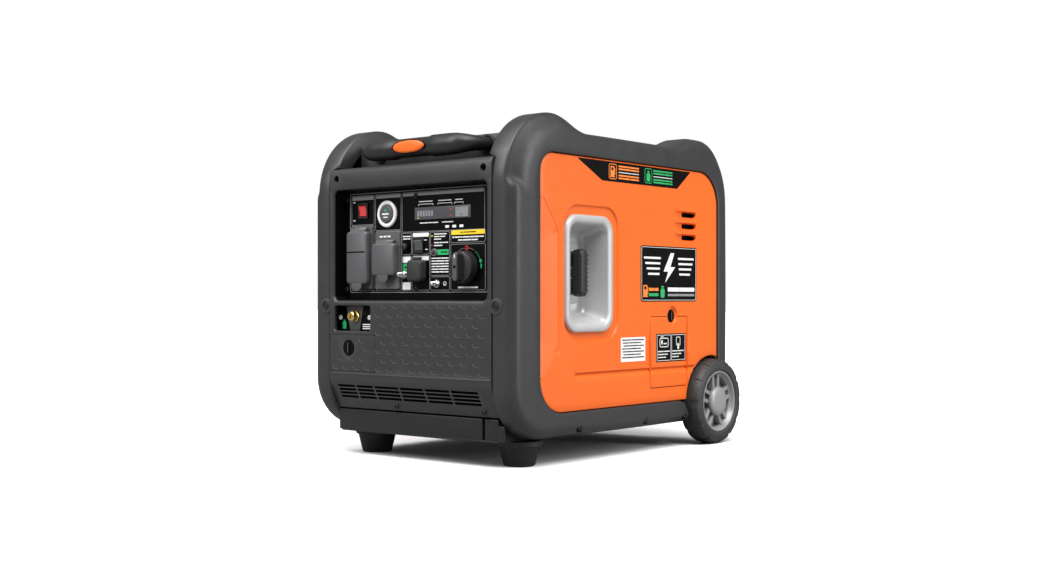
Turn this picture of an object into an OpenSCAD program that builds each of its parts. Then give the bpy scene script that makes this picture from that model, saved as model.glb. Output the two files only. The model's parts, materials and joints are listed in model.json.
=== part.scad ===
// Wheeled inverter generator, dual fuel, with a telescopic handle.
// Every sub-part is drawn with y measured back from the casing's front plane, then moved into place.

/* [Casing] */
// Width over the two side frames
case_w = 436; // [436:1:440]
// Length from the front plane to the rear of the side frames
case_l = 612; // [612:1:614]
// Height of the front hump above the ground
hump_z = 546; // [544:1:548]
// Wall thickness of the plastic covers
skin = 3; // [2.5:0.1:3.2]
// Distance from the front plane back to the origin
origin_back = 315.5; // [313:0.5:318]

/* [Wheels and feet] */
// Radius of a tyre
tyre_r = 76; // [74:1:77]
// Width of a tyre
tyre_w = 42; // [40:1:42]
// Distance of the wheel axis behind the front plane
wheel_y = 558; // [556:1:560]
// Radius of the axle
axle_r = 8; // [7:0.5:9]
// Height of a front foot
foot_h = 40; // [38:1:40]

/* [Handle] */
// Radius of the grip bar
bar_r = 17; // [16:0.5:17]
// Radius of a handle leg
leg_r = 11; // [9:0.5:11]
// Distance of a leg from the centre plane
leg_x = 118; // [112:1:122]
// Height of the handle above the ground
handle_z = 499; // [497:0.5:499]

/* [Engine] */
// Distance of the crank axis behind the front plane
crank_y = 330; // [328:1:332]
// Height of the crank axis
crank_z = 245; // [244:0.5:246]
// Radius of the crankshaft
crank_r = 12; // [11:0.5:13]

/* [Hidden] */
$fn = 48;
fit = 0.05;
gap = 0.5;
web = 4;
cover_x = 177.5;
frame_in = 178;
frame_out = case_w / 2;
hump_in = 165;
shoulder_z = 474;
bend_z = 124;
cover_low_z = 79;
cover_low_y = 22;
beam_z = 473;
recess = [167, 256, 437];
plate_y = 25;
plate_t = 3;
panel_x0 = 211.5;
panel_x1 = 215;
arch_r = 79;
rail_z = [40, 44];
rail_bolts = [166.5, 348, 467];
rail_bolt_z = 57;
grip_y = 195;
grip_z = 300;
rope_r = 2.5;
rope_x = 137;
post_r = 8;
vent_rows = [96, 102, 108, 114];
vent_h = 4;
rib_gap = 3;
access_right = -71;
access_swing = 1.2;
access_low = 140;
access_top = 199;
boss_at = [186.6, 247.5];
beam_screw_at = [161, 456];
low_screws = [-38, 148];
low_screw_z = 86;
rear_y = [597, 600];
latch_at = [-132.5, 178.5];
port_at = [486, 245];
cap_y = 300;
guide_y = [64, 480];
lid_y = [9, 20.5];
rope_out = 158;
tray_back = 166;

// ---- placing and drawing helpers ----

module placed() {
    translate([0, -origin_back, 0]) children();
}

// An outline of (y, z) pushed along X
module along_x(x0, x1) {
    translate([x0, 0, 0]) rotate([90, 0, 90]) linear_extrude(x1 - x0) children();
}

// An outline of (x, z) pushed along Y
module along_y(y0, y1) {
    translate([0, y1, 0]) rotate([90, 0, 0]) linear_extrude(y1 - y0) children();
}

module box(low, high) {
    translate(low) cube(high - low);
}

module rod_x(x0, x1, y, z, r) {
    translate([x0, y, z]) rotate([0, 90, 0]) cylinder(h = x1 - x0, r = r);
}

module rod_y(x, y0, y1, z, r) {
    translate([x, y1, z]) rotate([90, 0, 0]) cylinder(h = y1 - y0, r = r);
}

module rod_z(x, y, z0, z1, r) {
    translate([x, y, z0]) cylinder(h = z1 - z0, r = r);
}

module both_sides() {
    children();
    mirror([1, 0, 0]) children();
}

module rounded(low, high, r) {
    translate([low[0] + r, low[1]]) square([high[0] - low[0] - 2 * r, high[1] - low[1]]);
    translate([low[0], low[1] + r]) square([high[0] - low[0], high[1] - low[1] - 2 * r]);
    for (x = [low[0] + r, high[0] - r])
        for (y = [low[1] + r, high[1] - r])
            translate([x, y]) circle(r);
}

function arc(cx, cy, rx, ry, a0, a1, n = 10) =
    [for (i = [0:n]) let (a = a0 + (a1 - a0) * i / n) [cx + rx * cos(a), cy + ry * sin(a)]];

function wave(x0, y0, x1, y1, n = 8) =
    [for (i = [0:n]) let (t = i / n) [x0 + (x1 - x0) * t, y0 + (y1 - y0) * (1 - cos(180 * t)) / 2]];

// ---- side frames ----

// Side outline of the casing, set in by e all round
function side_outline(e) = concat(
    arc(84, 128, 84 - e, 84 - e, 270, 180),
    arc(112, hump_z - 112, 112 - e, 112 - e, 180, 90, 14),
    wave(112, hump_z - e, 200, 521 - e),
    wave(415, 521 - e, 500, 541 - e),
    arc(case_l - 82, 430, 82 - e, 111 - e, 90, 0, 12),
    [[case_l - e, 100], [560, 44 + e]]
);

// Outline of the opening that the side panel fills, grown by e
function window_outline(e) = concat(
    arc(124, 138, 56 + e, 56 + e, 270, 180),
    arc(101, 451, 33 + e, 33 + e, 180, 90),
    arc(518, 423, 61 + e, 61 + e, 90, 0, 12),
    [[579 + e, 82 - e]]
);

module arch(extra) {
    translate([wheel_y, tyre_r]) circle(arch_r + extra);
}

module side_window() {
    difference() {
        polygon(window_outline(0));
        arch(1);
    }
}

// The frame's ring, set in by e outside, and its opening and arch grown by their own amounts
module side_ring(e, opening = gap, arch_gap = 0) {
    difference() {
        polygon(side_outline(e));
        polygon(window_outline(opening));
        arch(arch_gap);
    }
}

module channel() {
    side_ring(4, 4, 4);
}

module side_frame() {
    difference() {
        union() {
            along_x(frame_in, frame_out - 13) side_ring(0);
            along_x(frame_out - 13, frame_out - 5) side_ring(4);
            along_x(frame_out - 5, frame_out) side_ring(10);
            along_x(hump_in, frame_in) intersection() {
                side_ring(0);
                translate([0, shoulder_z]) square([case_l, 100]);
            }
        }
        along_x(frame_in - 10, frame_out - 13 - web) intersection() {
            channel();
            square([case_l, shoulder_z - 4]);
        }
        along_x(hump_in + skin, frame_out - 13 - web) intersection() {
            channel();
            translate([0, shoulder_z + 3]) square([case_l, 100]);
        }
        rod_y(boss_at[0], -1, 10, boss_at[1], 13.5);
        for (y = rail_bolts) rod_x(170, frame_out + 1, y, rail_bolt_z, 7);
    }
}

module side_frame_right() {
    color("#4b4d50") placed() side_frame();
}

module side_frame_left() {
    color("#4b4d50") mirror([1, 0, 0]) placed() side_frame();
}

// ---- side panels ----

service_y = [366, 480];
service_z = [108, 228];
service_latch_at = [432, 229];
slot_z = [359, 379, 399];

module service_outline(e) {
    rounded([service_y[0] - e, service_z[0] - e], [service_y[1] + e, service_z[1] + e], 5);
    translate(service_latch_at) circle(16 + e);
}

module panel_vents() {
    for (z = slot_z)
        rounded([433, z], [508, z + 12], 4);
}

module side_panel_right() {
    color("#f8772f") placed() along_x(panel_x0, panel_x1) difference() {
        side_window();
        rounded([141.5, 215.5], [249.5, 381.5], 21.5);
        service_outline(0.6);
        panel_vents();
    }
}

module side_panel_left() {
    color("#f8772f") mirror([1, 0, 0]) placed() along_x(panel_x0, panel_x1) difference() {
        side_window();
        panel_vents();
    }
}

module service_door() {
    color("#f8772f") placed() difference() {
        along_x(panel_x0, panel_x1) service_outline(0);
        rod_x(panel_x0 - 1, panel_x1 + 1, service_latch_at[0], service_latch_at[1], 11.4);
    }
}

module quarter_turn(r, h) {
    difference() {
        cylinder(h = h, r = r);
        translate([-1.3, -r * 0.75, h - 2]) cube([2.6, r * 1.5, 3]);
    }
}

module service_latch() {
    color("#2b2c2e") placed()
        translate([panel_x0, service_latch_at[0], service_latch_at[1]])
            rotate([90, 0, 90]) quarter_turn(11, 3.3);
}

// ---- front cover ----

// Section of the front skin: upright, then sloping back below the bend
module front_section() {
    polygon([
        [0, beam_z], [0, bend_z], [cover_low_y, cover_low_z],
        [cover_low_y + skin + 0.4, cover_low_z], [skin, bend_z + 0.8], [skin, beam_z - skin],
        [50, beam_z - skin], [50, beam_z]
    ]);
}

module vents(x0, x1) {
    for (z = vent_rows) box([x0, -5, z], [x1, 40, z + vent_h]);
}

module gas_window() {
    rounded([-166, 206], [-82, 247.5], 4);
}

module front_cover() {
    ribs = [-162.5, -119, -77, -20, 35, 90, 149];
    color("#4b4d50") placed() difference() {
        union() {
            along_x(-cover_x, cover_x) front_section();
            along_y(skin, plate_y) difference() {
                rounded([-170, 253], [170, 440], 12);
                rounded([-recess[0], recess[1]], [recess[0], recess[2]], 9);
            }
            both_sides() {
                rod_y(boss_at[0], 0, skin, boss_at[1], 12.5);
                rod_y(beam_screw_at[0], skin, 16, beam_screw_at[1], 9);
            }
        }
        along_y(-1, skin + 1) rounded([-recess[0], recess[1]], [recess[0], recess[2]], 9);
        along_y(-1, skin + 1) gas_window();
        box([-cover_x - 1, -5, access_low - gap], [access_right + access_swing, 40, access_top + gap]);
        for (i = [1:6]) vents(ribs[i - 1] + rib_gap / 2, ribs[i] - rib_gap / 2);
        both_sides() {
            rod_y(boss_at[0], -1, skin + 1, boss_at[1], 3);
            rod_y(beam_screw_at[0], -1, 13, beam_screw_at[1], 6);
        }
        for (x = low_screws) rod_y(x, -1, 40, low_screw_z, 3);
    }
}

module access_cover() {
    color("#4b4d50") placed() difference() {
        box([-cover_x + 1.5, 0, access_low], [access_right, skin, access_top]);
        rod_y(latch_at[0], -1, skin + 1, latch_at[1], 13.4);
    }
}

module access_latch() {
    color("#1c1d1f") placed()
        translate([latch_at[0], skin, latch_at[1]]) rotate([90, 0, 0]) quarter_turn(13, 2.5);
}

// ---- rear and top covers ----

exhaust_at = [100, 150];

module rear_cover() {
    color("#4b4d50") placed() difference() {
        along_y(rear_y[0], rear_y[1]) rounded([-cover_x, 100], [cover_x, 467], 6);
        rod_y(exhaust_at[0], 590, 610, exhaust_at[1], 22);
        for (z = [230:16:390]) box([-130, 590, z], [130, 610, z + 7]);
    }
}

module top_cover() {
    outer = [[60, beam_z + 1], [60, 512], [66, 516], [540, 516], [575, 500], [rear_y[1], 468]];
    inner = [[rear_y[0], 468], [573, 497], [539, 513], [67, 513], [63, 511], [63, beam_z + 1]];
    color("#45474a") placed() difference() {
        along_x(-164.5, 164.5) polygon(concat(outer, inner));
        both_sides() rod_y(leg_x, 50, 70, handle_z, leg_r + 0.6);
        rod_z(0, cap_y, 505, 525, 26);
    }
}

// ---- base, feet, wheels ----

module base_frame() {
    color("#3a3b3d") placed() difference() {
        union() {
            box([-172, cover_low_y, rail_z[0]], [172, 590, rail_z[1]]);
            box([-177, cover_low_y, rail_z[1]], [140, cover_low_y + 4, 76]);
            box([145, cover_low_y, rail_z[1]], [172, cover_low_y + 4, 76]);
            box([172, cover_low_y, rail_z[1]], [184, cover_low_y + 4, 66.5]);
            both_sides() {
                box([168, cover_low_y + 4, rail_z[1]], [172, 590, 70]);
                box([160, 530, rail_z[1]], [168, 586, 100]);
            }
        }
        rod_x(-180, 180, wheel_y, tyre_r, axle_r + fit);
    }
}

module front_feet() {
    profile = [[0, 0], [24, 0], [26, 3], [33, 30], [36, 31], [36, foot_h], [0, foot_h]];
    color("#242526") placed() both_sides()
        translate([157, 90, 0]) rotate_extrude() polygon(profile);
}

module on_wheel() {
    translate([frame_in + 15, wheel_y, tyre_r]) rotate([0, 90, 0]) children();
}

module tyre() {
    color("#2e2f30") placed() on_wheel() difference() {
        rotate_extrude($fn = 96) polygon([
            [54.5, 0], [66, 0], [73, 4], [tyre_r, 11], [tyre_r, tyre_w - 11],
            [73, tyre_w - 4], [66, tyre_w], [54.5, tyre_w]
        ]);
        for (i = [0:11]) rotate([0, 0, i * 30]) box([73, -2, -1], [80, 2, 12]);
    }
}

module rim() {
    color("#a9abad") placed() on_wheel() difference() {
        union() {
            rotate_extrude($fn = 96) polygon([
                [46, 6], [54.4, 6], [54.4, tyre_w - 3], [50, tyre_w - 3], [46, tyre_w - 9]
            ]);
            cylinder(h = tyre_w - 6, r = 20);
            translate([0, 0, tyre_w - 8]) cylinder(h = 6, r = 26);
            translate([0, 0, tyre_w - 2]) cylinder(h = 2, r = 20);
            for (i = [0:4]) rotate([0, 0, i * 72])
                for (side = [-6, 6]) box([18, side - 2.5, 14], [48, side + 2.5, tyre_w - 8]);
        }
        translate([0, 0, -1]) cylinder(h = 32, r = axle_r + fit);
    }
}

module tyre_right() { tyre(); }
module rim_right() { rim(); }
module tyre_left() { mirror([1, 0, 0]) tyre(); }
module rim_left() { mirror([1, 0, 0]) rim(); }

module axle() {
    color("#8f9294") placed() rod_x(-222, 222, wheel_y, tyre_r, axle_r);
}

// ---- control plate ----

power_at = [-122, 403];
eco_at = [4, 344];
start_at = [-65.5, 396];
reset_at = [-23, 342];
test_at = [38, 331.5];
knob_at = [106, 307.5];
knob_y = [-3, 8, 23];
duplex_at = [-123.5, 326];
twist_at = [-63, 322];
dc_at = [8, 303];
ground_at = [43, 282.5];
parallel_at = [[-29.5, 297.5], [-17.5, 297.5]];
plate_screws = [for (x = [-161, -2, 161]) for (z = [274, 423]) [x, z]];
rocker_r = 9;
rocker_w = 16;

module plate_hole(at, r) {
    rod_y(at[0], plate_y - 8, plate_y + 40, at[1], r);
}

module rocker_hole(at) {
    half = [rocker_w / 2 + 0.4, rocker_r + 0.4];
    box([at[0] - half[0], 10, at[1] - half[1]], [at[0] + half[0], 60, at[1] + half[1]]);
}

module control_plate() {
    color("#161718") placed() difference() {
        union() {
            along_y(plate_y, plate_y + plate_t) rounded([-169, 254], [169, 439], 10);
            for (at = [power_at, eco_at])
                box([at[0] - 11, plate_y - 2, at[1] - 12.5], [at[0] + 11, plate_y + 14, at[1] + 12.5]);
            rod_y(reset_at[0], plate_y - 4, plate_y, reset_at[1], 8);
        }
        rocker_hole(power_at);
        rocker_hole(eco_at);
        plate_hole(start_at, 14.8);
        plate_hole(reset_at, 5.4);
        plate_hole(test_at, 3.9);
        plate_hole(knob_at, 4.4);
        plate_hole(ground_at, 3);
        for (at = parallel_at) plate_hole(at, 3);
        for (at = plate_screws) plate_hole(at, 2);
        box([-145, 10, 286], [-102, 60, 366]);
        plate_hole(twist_at, 22);
        plate_hole(dc_at, 12.5);
    }
}

module display_window() {
    color("#5f6366") placed()
        box([-4, plate_y - 1.5, 384], [115, plate_y, 403.5]);
}

// A rocker turns about its own cylinder axis, which lies in the plate
module rocker(at) {
    placed() translate([at[0] - rocker_w / 2, plate_y + 1, at[1]]) rotate([0, 90, 0])
        rotate([0, 0, 10]) intersection() {
            cylinder(h = rocker_w, r = rocker_r);
            linear_extrude(rocker_w) polygon([
                [-rocker_r, -5], [0, -3], [rocker_r, -5], [rocker_r, rocker_r], [-rocker_r, rocker_r]
            ]);
        }
}

module power_rocker() { color("#d8303a") rocker(power_at); }
module eco_rocker() { color("#55585b") rocker(eco_at); }

module start_ring() {
    color("#e9eaea") placed() difference() {
        rod_y(start_at[0], plate_y - 4, plate_y, start_at[1], 21.8);
        plate_hole(start_at, 14.8);
    }
}

module start_button() {
    color("#7d8184") placed() rod_y(start_at[0], plate_y - 6, plate_y + 8, start_at[1], 14.3);
}

module reset_button() {
    color("#2b2c2e") placed() rod_y(reset_at[0], plate_y - 8, plate_y + 8, reset_at[1], 5);
}

module test_button() {
    color("#2b2c2e") placed() rod_y(test_at[0], plate_y - 4, plate_y + 6, test_at[1], 3.5);
}

module fuel_knob() {
    color("#2b2c2e") placed() {
        rod_y(knob_at[0], knob_y[1], knob_y[2], knob_at[1], 25);
        rod_y(knob_at[0], knob_y[2], 40, knob_at[1], 4);
        box([knob_at[0] - 6, knob_y[0], knob_at[1] - 23], [knob_at[0] + 6, knob_y[1], knob_at[1] + 23]);
    }
}

module duplex_socket() {
    color("#5b5e61") placed() difference() {
        union() {
            along_y(21, plate_y) rounded([-149, 276], [-98, 372], 4);
            box([-144.5, plate_y, 286.5], [-102.5, 46, 365.5]);
        }
        for (z = [306, 346])
            for (x = [-130, -117]) box([x - 1, 20, z - 4], [x + 1, 38, z + 4]);
    }
}

module twistlock_socket() {
    color("#5b5e61") placed() difference() {
        union() {
            along_y(21, plate_y) rounded([-92, 273], [-35, 369], 4);
            rod_y(twist_at[0], plate_y, 52, twist_at[1], 21.5);
        }
        for (a = [0:90:270])
            translate([twist_at[0], 0, twist_at[1]]) rotate([0, a, 0]) box([9, 20, -1], [12, 38, 4]);
    }
}

// A spring lid with its hinge barrel along the top edge and a finger tab below
module socket_lid(at, w, h) {
    low = at[1] - h / 2;
    top = at[1] + h / 2;
    placed() {
        along_y(lid_y[0], lid_y[1]) rounded([at[0] - w / 2, low], [at[0] + w / 2, top], 5);
        along_y(lid_y[0], lid_y[0] + 3) rounded([at[0] - 13, low - 12], [at[0] + 13, low + 8], 5);
        rod_x(at[0] - w / 2 + 6, at[0] + w / 2 - 6, 17, top + 3, 3);
    }
}

module duplex_lid() { color("#6c7073") socket_lid(duplex_at, 48, 86); }
module twistlock_lid() { color("#6c7073") socket_lid(twist_at, 52, 52); }

module dc_socket() {
    color("#3a3b3d") placed() difference() {
        union() {
            rod_y(dc_at[0], 21, plate_y, dc_at[1], 16);
            rod_y(dc_at[0], plate_y, 48, dc_at[1], 12);
        }
        rod_y(dc_at[0], 20, 44, dc_at[1], 10.5);
    }
}

module dc_cap() {
    top = dc_at[1] + 17;
    color("#3f4245") placed() {
        along_y(7, 20.5) rounded([dc_at[0] - 16, dc_at[1] - 17], [dc_at[0] + 16, top], 6);
        rod_x(dc_at[0] - 8, dc_at[0] + 8, 17, top + 2.5, 2.5);
    }
}

module stud(at) {
    rod_y(at[0], 10, 40, at[1], 2.95);
    rod_y(at[0], 20, plate_y, at[1], 5);
}

module parallel_posts() {
    color("#b9bcbe") placed() for (at = parallel_at) stud(at);
}

module ground_post() {
    color("#b9bcbe") placed() stud(ground_at);
}

// ---- gas inlet ----

inlet_at = [-130, 230];

module gas_inlet() {
    color("#c9a94b") placed() {
        rod_y(inlet_at[0], 2, 11, inlet_at[1], 7.9);
        translate([inlet_at[0], 16, inlet_at[1]]) rotate([90, 0, 0]) cylinder(h = 5, r = 10.5, $fn = 6);
        rod_y(inlet_at[0], 16, 50, inlet_at[1], 6);
    }
}

module gas_bracket() {
    color("#63666a") placed() difference() {
        along_y(16, 18) rounded([-172, 201], [-76, 251], 3);
        rod_y(inlet_at[0], 10, 20, inlet_at[1], 6.2);
    }
}

// ---- recoil starter ----

module recoil_tray() {
    color("#b7b9bb") placed() difference() {
        union() {
            along_x(tray_back, panel_x1) rounded([142, 216], [249, 381], 21);
            along_x(panel_x1, panel_x1 + 4) rounded([131, 206], [258, 391], 28);
            rod_x(rope_out, tray_back, grip_y, grip_z, 7);
        }
        along_x(tray_back + skin, panel_x1 + 5) rounded([145, 219], [246, 378], 18);
        rod_x(150, 175, grip_y, grip_z, rope_r + 0.5);
    }
}

module recoil_grip() {
    color("#2b2c2e") placed() {
        rod_x(172, 186, grip_y, grip_z, 7);
        along_x(184, 205) rounded([grip_y - 11, grip_z - 38], [grip_y + 11, grip_z + 38], 9);
    }
}

// The rope leaves the pulley forwards, turns through the tray's eye and ends at the grip
module recoil_rope() {
    turn = rope_out - rope_x;
    color("#1c1d1f") placed() {
        rod_y(rope_x, grip_y + turn, crank_y, grip_z, rope_r);
        rod_x(rope_out, 172, grip_y, grip_z, rope_r);
        translate([rope_out, grip_y + turn, grip_z]) rotate([0, 0, 180])
            rotate_extrude(angle = 90) translate([turn, 0]) circle(rope_r);
    }
}

module recoil_pulley() {
    color("#d7d8d9") placed() difference() {
        union() {
            rod_x(132, 134, crank_y, crank_z, 60);
            rod_x(134, 140, crank_y, crank_z, 52.2);
            rod_x(140, 142, crank_y, crank_z, 60);
        }
        rod_x(130, 144, crank_y, crank_z, post_r + fit);
    }
}

module recoil_housing() {
    color("#3a3b3d") placed() difference() {
        union() {
            difference() {
                rod_x(60, 160, crank_y, crank_z, 88);
                rod_x(64, 156, crank_y, crank_z, 84);
                rod_x(50, 70, crank_y, crank_z, 66);
            }
            rod_x(130, 156, crank_y, crank_z, post_r);
        }
        box([130, 230, 293], [146, 300, 308]);
        for (a = [0:30:330])
            translate([150, crank_y, crank_z]) rotate([a, 0, 0]) box([0, 20, -4], [20, 70, 4]);
    }
}

// ---- telescopic handle ----

bar_y = 21;
button_half = [35, 10];
elbow_r = 30;
leg_end = 420;

module button_outline(e) {
    half = button_half + [e, e];
    rounded([-half[0], handle_z - half[1]], [half[0], handle_z + half[1]], 9.5);
}

module handle_frame() {
    straight = leg_x - elbow_r;
    color("#3f4143") placed() difference() {
        union() {
            rod_x(-straight, straight, bar_y, handle_z, bar_r);
            both_sides() {
                translate([straight, bar_y + elbow_r, handle_z]) rotate([0, 0, -90])
                    rotate_extrude(angle = 90) translate([elbow_r, 0]) circle(leg_r);
                rod_y(leg_x, bar_y + elbow_r, leg_end, handle_z, leg_r);
            }
        }
        along_y(bar_y - 30, bar_y - 2) button_outline(0.4);
    }
}

module handle_button() {
    color("#f8772f") placed() along_y(bar_y - 19, bar_y - 6) button_outline(0);
}

module handle_guides() {
    color("#8f9294") placed() both_sides() difference() {
        rod_y(leg_x, guide_y[0], guide_y[1], handle_z, 13.5);
        rod_y(leg_x, guide_y[0] - 4, guide_y[1] + 4, handle_z, leg_r + 0.3);
    }
}

// ---- fuel ----

module fuel_tank() {
    color("#1f2021") placed() difference() {
        union() {
            along_x(-150, 150) rounded([100, 372], [460, 478], 16);
            rod_z(0, cap_y, 470, 518, 24);
        }
        along_x(-147, 147) rounded([103, 375], [457, 475], 14);
        rod_z(0, cap_y, 470, 520, 21);
    }
}

module fuel_cap() {
    color("#2b2c2e") placed() difference() {
        union() {
            rod_z(0, cap_y, 518.4, 531, 30);
            rod_z(0, cap_y, 500, 519, 20.6);
        }
        for (i = [0:11]) translate([0, cap_y, 0]) rotate([0, 0, i * 30]) rod_z(30, 0, 518, 532, 2.5);
    }
}

// ---- engine and alternator ----

module engine_block() {
    color("#8f9294") placed() difference() {
        union() {
            box([-60, 262, 90], [60, 398, 320]);
            for (x = [-60, 34]) for (y = [264, 370]) box([x, y, 62], [x + 26, y + 26, 90]);
        }
        box([-50, 272, 100], [50, 388, 310]);
        rod_x(-70, 70, crank_y, crank_z, crank_r + fit);
    }
}

module cylinder_head() {
    color("#9da0a2") placed() {
        rod_y(0, 398, 470, crank_z, 36);
        for (i = [0:7]) along_y(404 + i * 8, 407 + i * 8) rounded([-45, 198], [45, 292], 6);
        along_y(470, 500) rounded([-42, 202], [42, 288], 8);
        along_y(500, 524) rounded([-34, 210], [34, 280], 10);
    }
}

module crankshaft() {
    color("#b9bcbe") placed() {
        rod_x(-58, 126, crank_y, crank_z, crank_r);
        for (x = [-24, 12]) rod_x(x, x + 12, crank_y, crank_z, 46);
        rod_x(-24, 24, crank_y, crank_z + 26, 10);
    }
}

module flywheel_rotor() {
    color("#6c7073") placed() difference() {
        rod_x(67, 105, crank_y, crank_z, 78);
        rod_x(60, 99, crank_y, crank_z, 66);
        rod_x(60, 110, crank_y, crank_z, crank_r);
    }
}

module cooling_fan() {
    color("#2b2c2e") placed() difference() {
        union() {
            rod_x(105, 108, crank_y, crank_z, 80);
            for (i = [0:11]) translate([108, crank_y, crank_z]) rotate([i * 30, 0, 0])
                box([0, 34, -1.5], [14, 78, 1.5]);
        }
        rod_x(100, 112, crank_y, crank_z, crank_r);
    }
}

module stator() {
    color("#a8703c") placed() difference() {
        rod_x(60, 94, crank_y, crank_z, 60);
        rod_x(50, 100, crank_y, crank_z, 24);
        for (i = [0:17]) translate([58, crank_y, crank_z]) rotate([i * 20, 0, 0])
            box([0, 44, -3], [40, 62, 3]);
    }
}

module carburetor() {
    color("#9da0a2") placed() {
        box([-86, 474, 228], [-48, 498, 262]);
        rod_x(-100, -42, port_at[0], port_at[1], 11);
        rod_z(-67, port_at[0], 208, 228, 12);
    }
}

module air_cleaner() {
    color("#2b2c2e") placed() along_x(-160, -100) rounded([430, 190], [540, 300], 10);
}

module muffler() {
    color("#77797b") placed() {
        rod_x(20, 150, 520, 150, 42);
        rod_x(42, 85, port_at[0], port_at[1], 11);
        rod_z(85, port_at[0], 170, port_at[1], 11);
        translate([85, port_at[0], port_at[1]]) sphere(11);
        difference() {
            rod_y(exhaust_at[0], 555, 606, exhaust_at[1], 17);
            rod_y(exhaust_at[0], 566, 610, exhaust_at[1], 14);
        }
    }
}

module inverter_module() {
    color("#8f9294") placed() {
        box([-150, 70, 90], [70, 110, 240]);
        for (i = [0:14]) box([-146 + i * 15, 58, 94], [-142 + i * 15, 70, 236]);
    }
}

module battery() {
    color("#2b2c2e") placed() {
        box([85, 50, 44], [155, 150, 140]);
        for (y = [66, 134]) rod_z(120, y, 140, 148, 5);
    }
}

module engine_mounts() {
    color("#1c1d1f") placed()
        for (x = [-47, 47]) for (y = [277, 383]) rod_z(x, y, rail_z[1], 62, 14);
}

module case_screws() {
    color("#5b5e61") placed() {
        both_sides() {
            rod_y(boss_at[0], -2, 0, boss_at[1], 5);
            rod_y(boss_at[0], 0, 9, boss_at[1], 2.8);
            rod_y(beam_screw_at[0], 9, 13, beam_screw_at[1], 4.5);
            for (y = rail_bolts) {
                rod_x(206, 211, y, rail_bolt_z, 6);
                rod_x(172, 206, y, rail_bolt_z, 3);
            }
        }
        for (x = low_screws) {
            rod_y(x, 12.5, 16, low_screw_z, 5);
            rod_y(x, 16, 34, low_screw_z, 2.8);
        }
        for (at = plate_screws) {
            rod_y(at[0], plate_y - 2, plate_y, at[1], 4);
            rod_y(at[0], plate_y, 34, at[1], 1.9);
        }
    }
}

base_frame();
front_feet();
side_frame_right();
side_frame_left();
side_panel_right();
side_panel_left();
front_cover();
rear_cover();
top_cover();
access_cover();
access_latch();
service_door();
service_latch();
control_plate();
display_window();
power_rocker();
start_ring();
start_button();
eco_rocker();
reset_button();
test_button();
fuel_knob();
duplex_socket();
duplex_lid();
twistlock_socket();
twistlock_lid();
dc_socket();
dc_cap();
parallel_posts();
ground_post();
gas_inlet();
gas_bracket();
recoil_tray();
recoil_grip();
recoil_rope();
recoil_pulley();
recoil_housing();
handle_frame();
handle_button();
handle_guides();
tyre_right();
rim_right();
tyre_left();
rim_left();
axle();
fuel_tank();
fuel_cap();
engine_block();
cylinder_head();
crankshaft();
flywheel_rotor();
cooling_fan();
stator();
carburetor();
air_cleaner();
muffler();
inverter_module();
battery();
engine_mounts();
case_screws();
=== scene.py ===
"""Looks for a wheeled inverter generator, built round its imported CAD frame.

Shapes are written in millimetres as (x, d, z), where d runs back from the casing's front plane.
piece() turns them into metres in the frame.
"""

import json
import math

import bmesh
import bpy
import numpy as np
from mathutils import Matrix, Vector
from mathutils.geometry import delaunay_2d_cdt

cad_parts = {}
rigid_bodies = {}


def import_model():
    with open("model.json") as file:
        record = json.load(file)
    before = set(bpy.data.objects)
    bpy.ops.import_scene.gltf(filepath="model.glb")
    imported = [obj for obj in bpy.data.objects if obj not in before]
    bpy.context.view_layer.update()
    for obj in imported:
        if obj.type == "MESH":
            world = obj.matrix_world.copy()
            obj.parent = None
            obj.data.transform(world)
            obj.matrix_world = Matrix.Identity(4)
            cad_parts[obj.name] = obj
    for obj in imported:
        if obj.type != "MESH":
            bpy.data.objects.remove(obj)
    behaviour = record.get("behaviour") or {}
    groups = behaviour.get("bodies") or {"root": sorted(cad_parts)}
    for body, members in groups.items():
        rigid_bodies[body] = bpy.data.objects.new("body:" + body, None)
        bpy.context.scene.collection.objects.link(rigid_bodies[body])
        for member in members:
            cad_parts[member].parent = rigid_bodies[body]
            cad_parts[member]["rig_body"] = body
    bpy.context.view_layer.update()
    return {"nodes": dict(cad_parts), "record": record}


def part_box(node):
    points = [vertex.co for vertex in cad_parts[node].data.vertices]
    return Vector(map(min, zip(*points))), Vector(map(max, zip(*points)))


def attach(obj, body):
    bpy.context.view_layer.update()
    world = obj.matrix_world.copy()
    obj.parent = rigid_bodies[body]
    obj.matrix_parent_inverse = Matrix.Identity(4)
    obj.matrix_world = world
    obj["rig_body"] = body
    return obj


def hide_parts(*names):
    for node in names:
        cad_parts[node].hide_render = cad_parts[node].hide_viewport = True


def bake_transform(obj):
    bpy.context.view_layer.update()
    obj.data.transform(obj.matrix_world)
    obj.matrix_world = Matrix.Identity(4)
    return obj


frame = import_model()

MM = 0.001
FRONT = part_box("front_cover")[0].y
WELD = 2e-6
CASING = "casing"
SIDES = (-1, 1)


def cad(node):
    """Lowest and highest corner of a CAD node in mm, with d for y."""
    return [Vector((p.x, p.y - FRONT, p.z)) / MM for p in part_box(node)]


def middle(node):
    low, high = cad(node)
    return (low + high) / 2


# ---- outlines, as lists of (u, v) ----

def arc(cu, cv, ru, rv, start, end, n=8):
    angles = np.radians(np.linspace(start, end, n + 1))
    return [(cu + ru * math.cos(a), cv + rv * math.sin(a)) for a in angles]


def round_rect(low, high, r, n=6):
    (u0, v0), (u1, v1) = low, high
    corners = [(u1 - r, v0 + r, 270), (u1 - r, v1 - r, 0), (u0 + r, v1 - r, 90), (u0 + r, v0 + r, 180)]
    return [p for u, v, a in corners for p in arc(u, v, r, r, a, a + 90, n)]


def around(cu, cv, half_u, half_v, r, n=6):
    return round_rect((cu - half_u, cv - half_v), (cu + half_u, cv + half_v), r, n)


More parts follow.
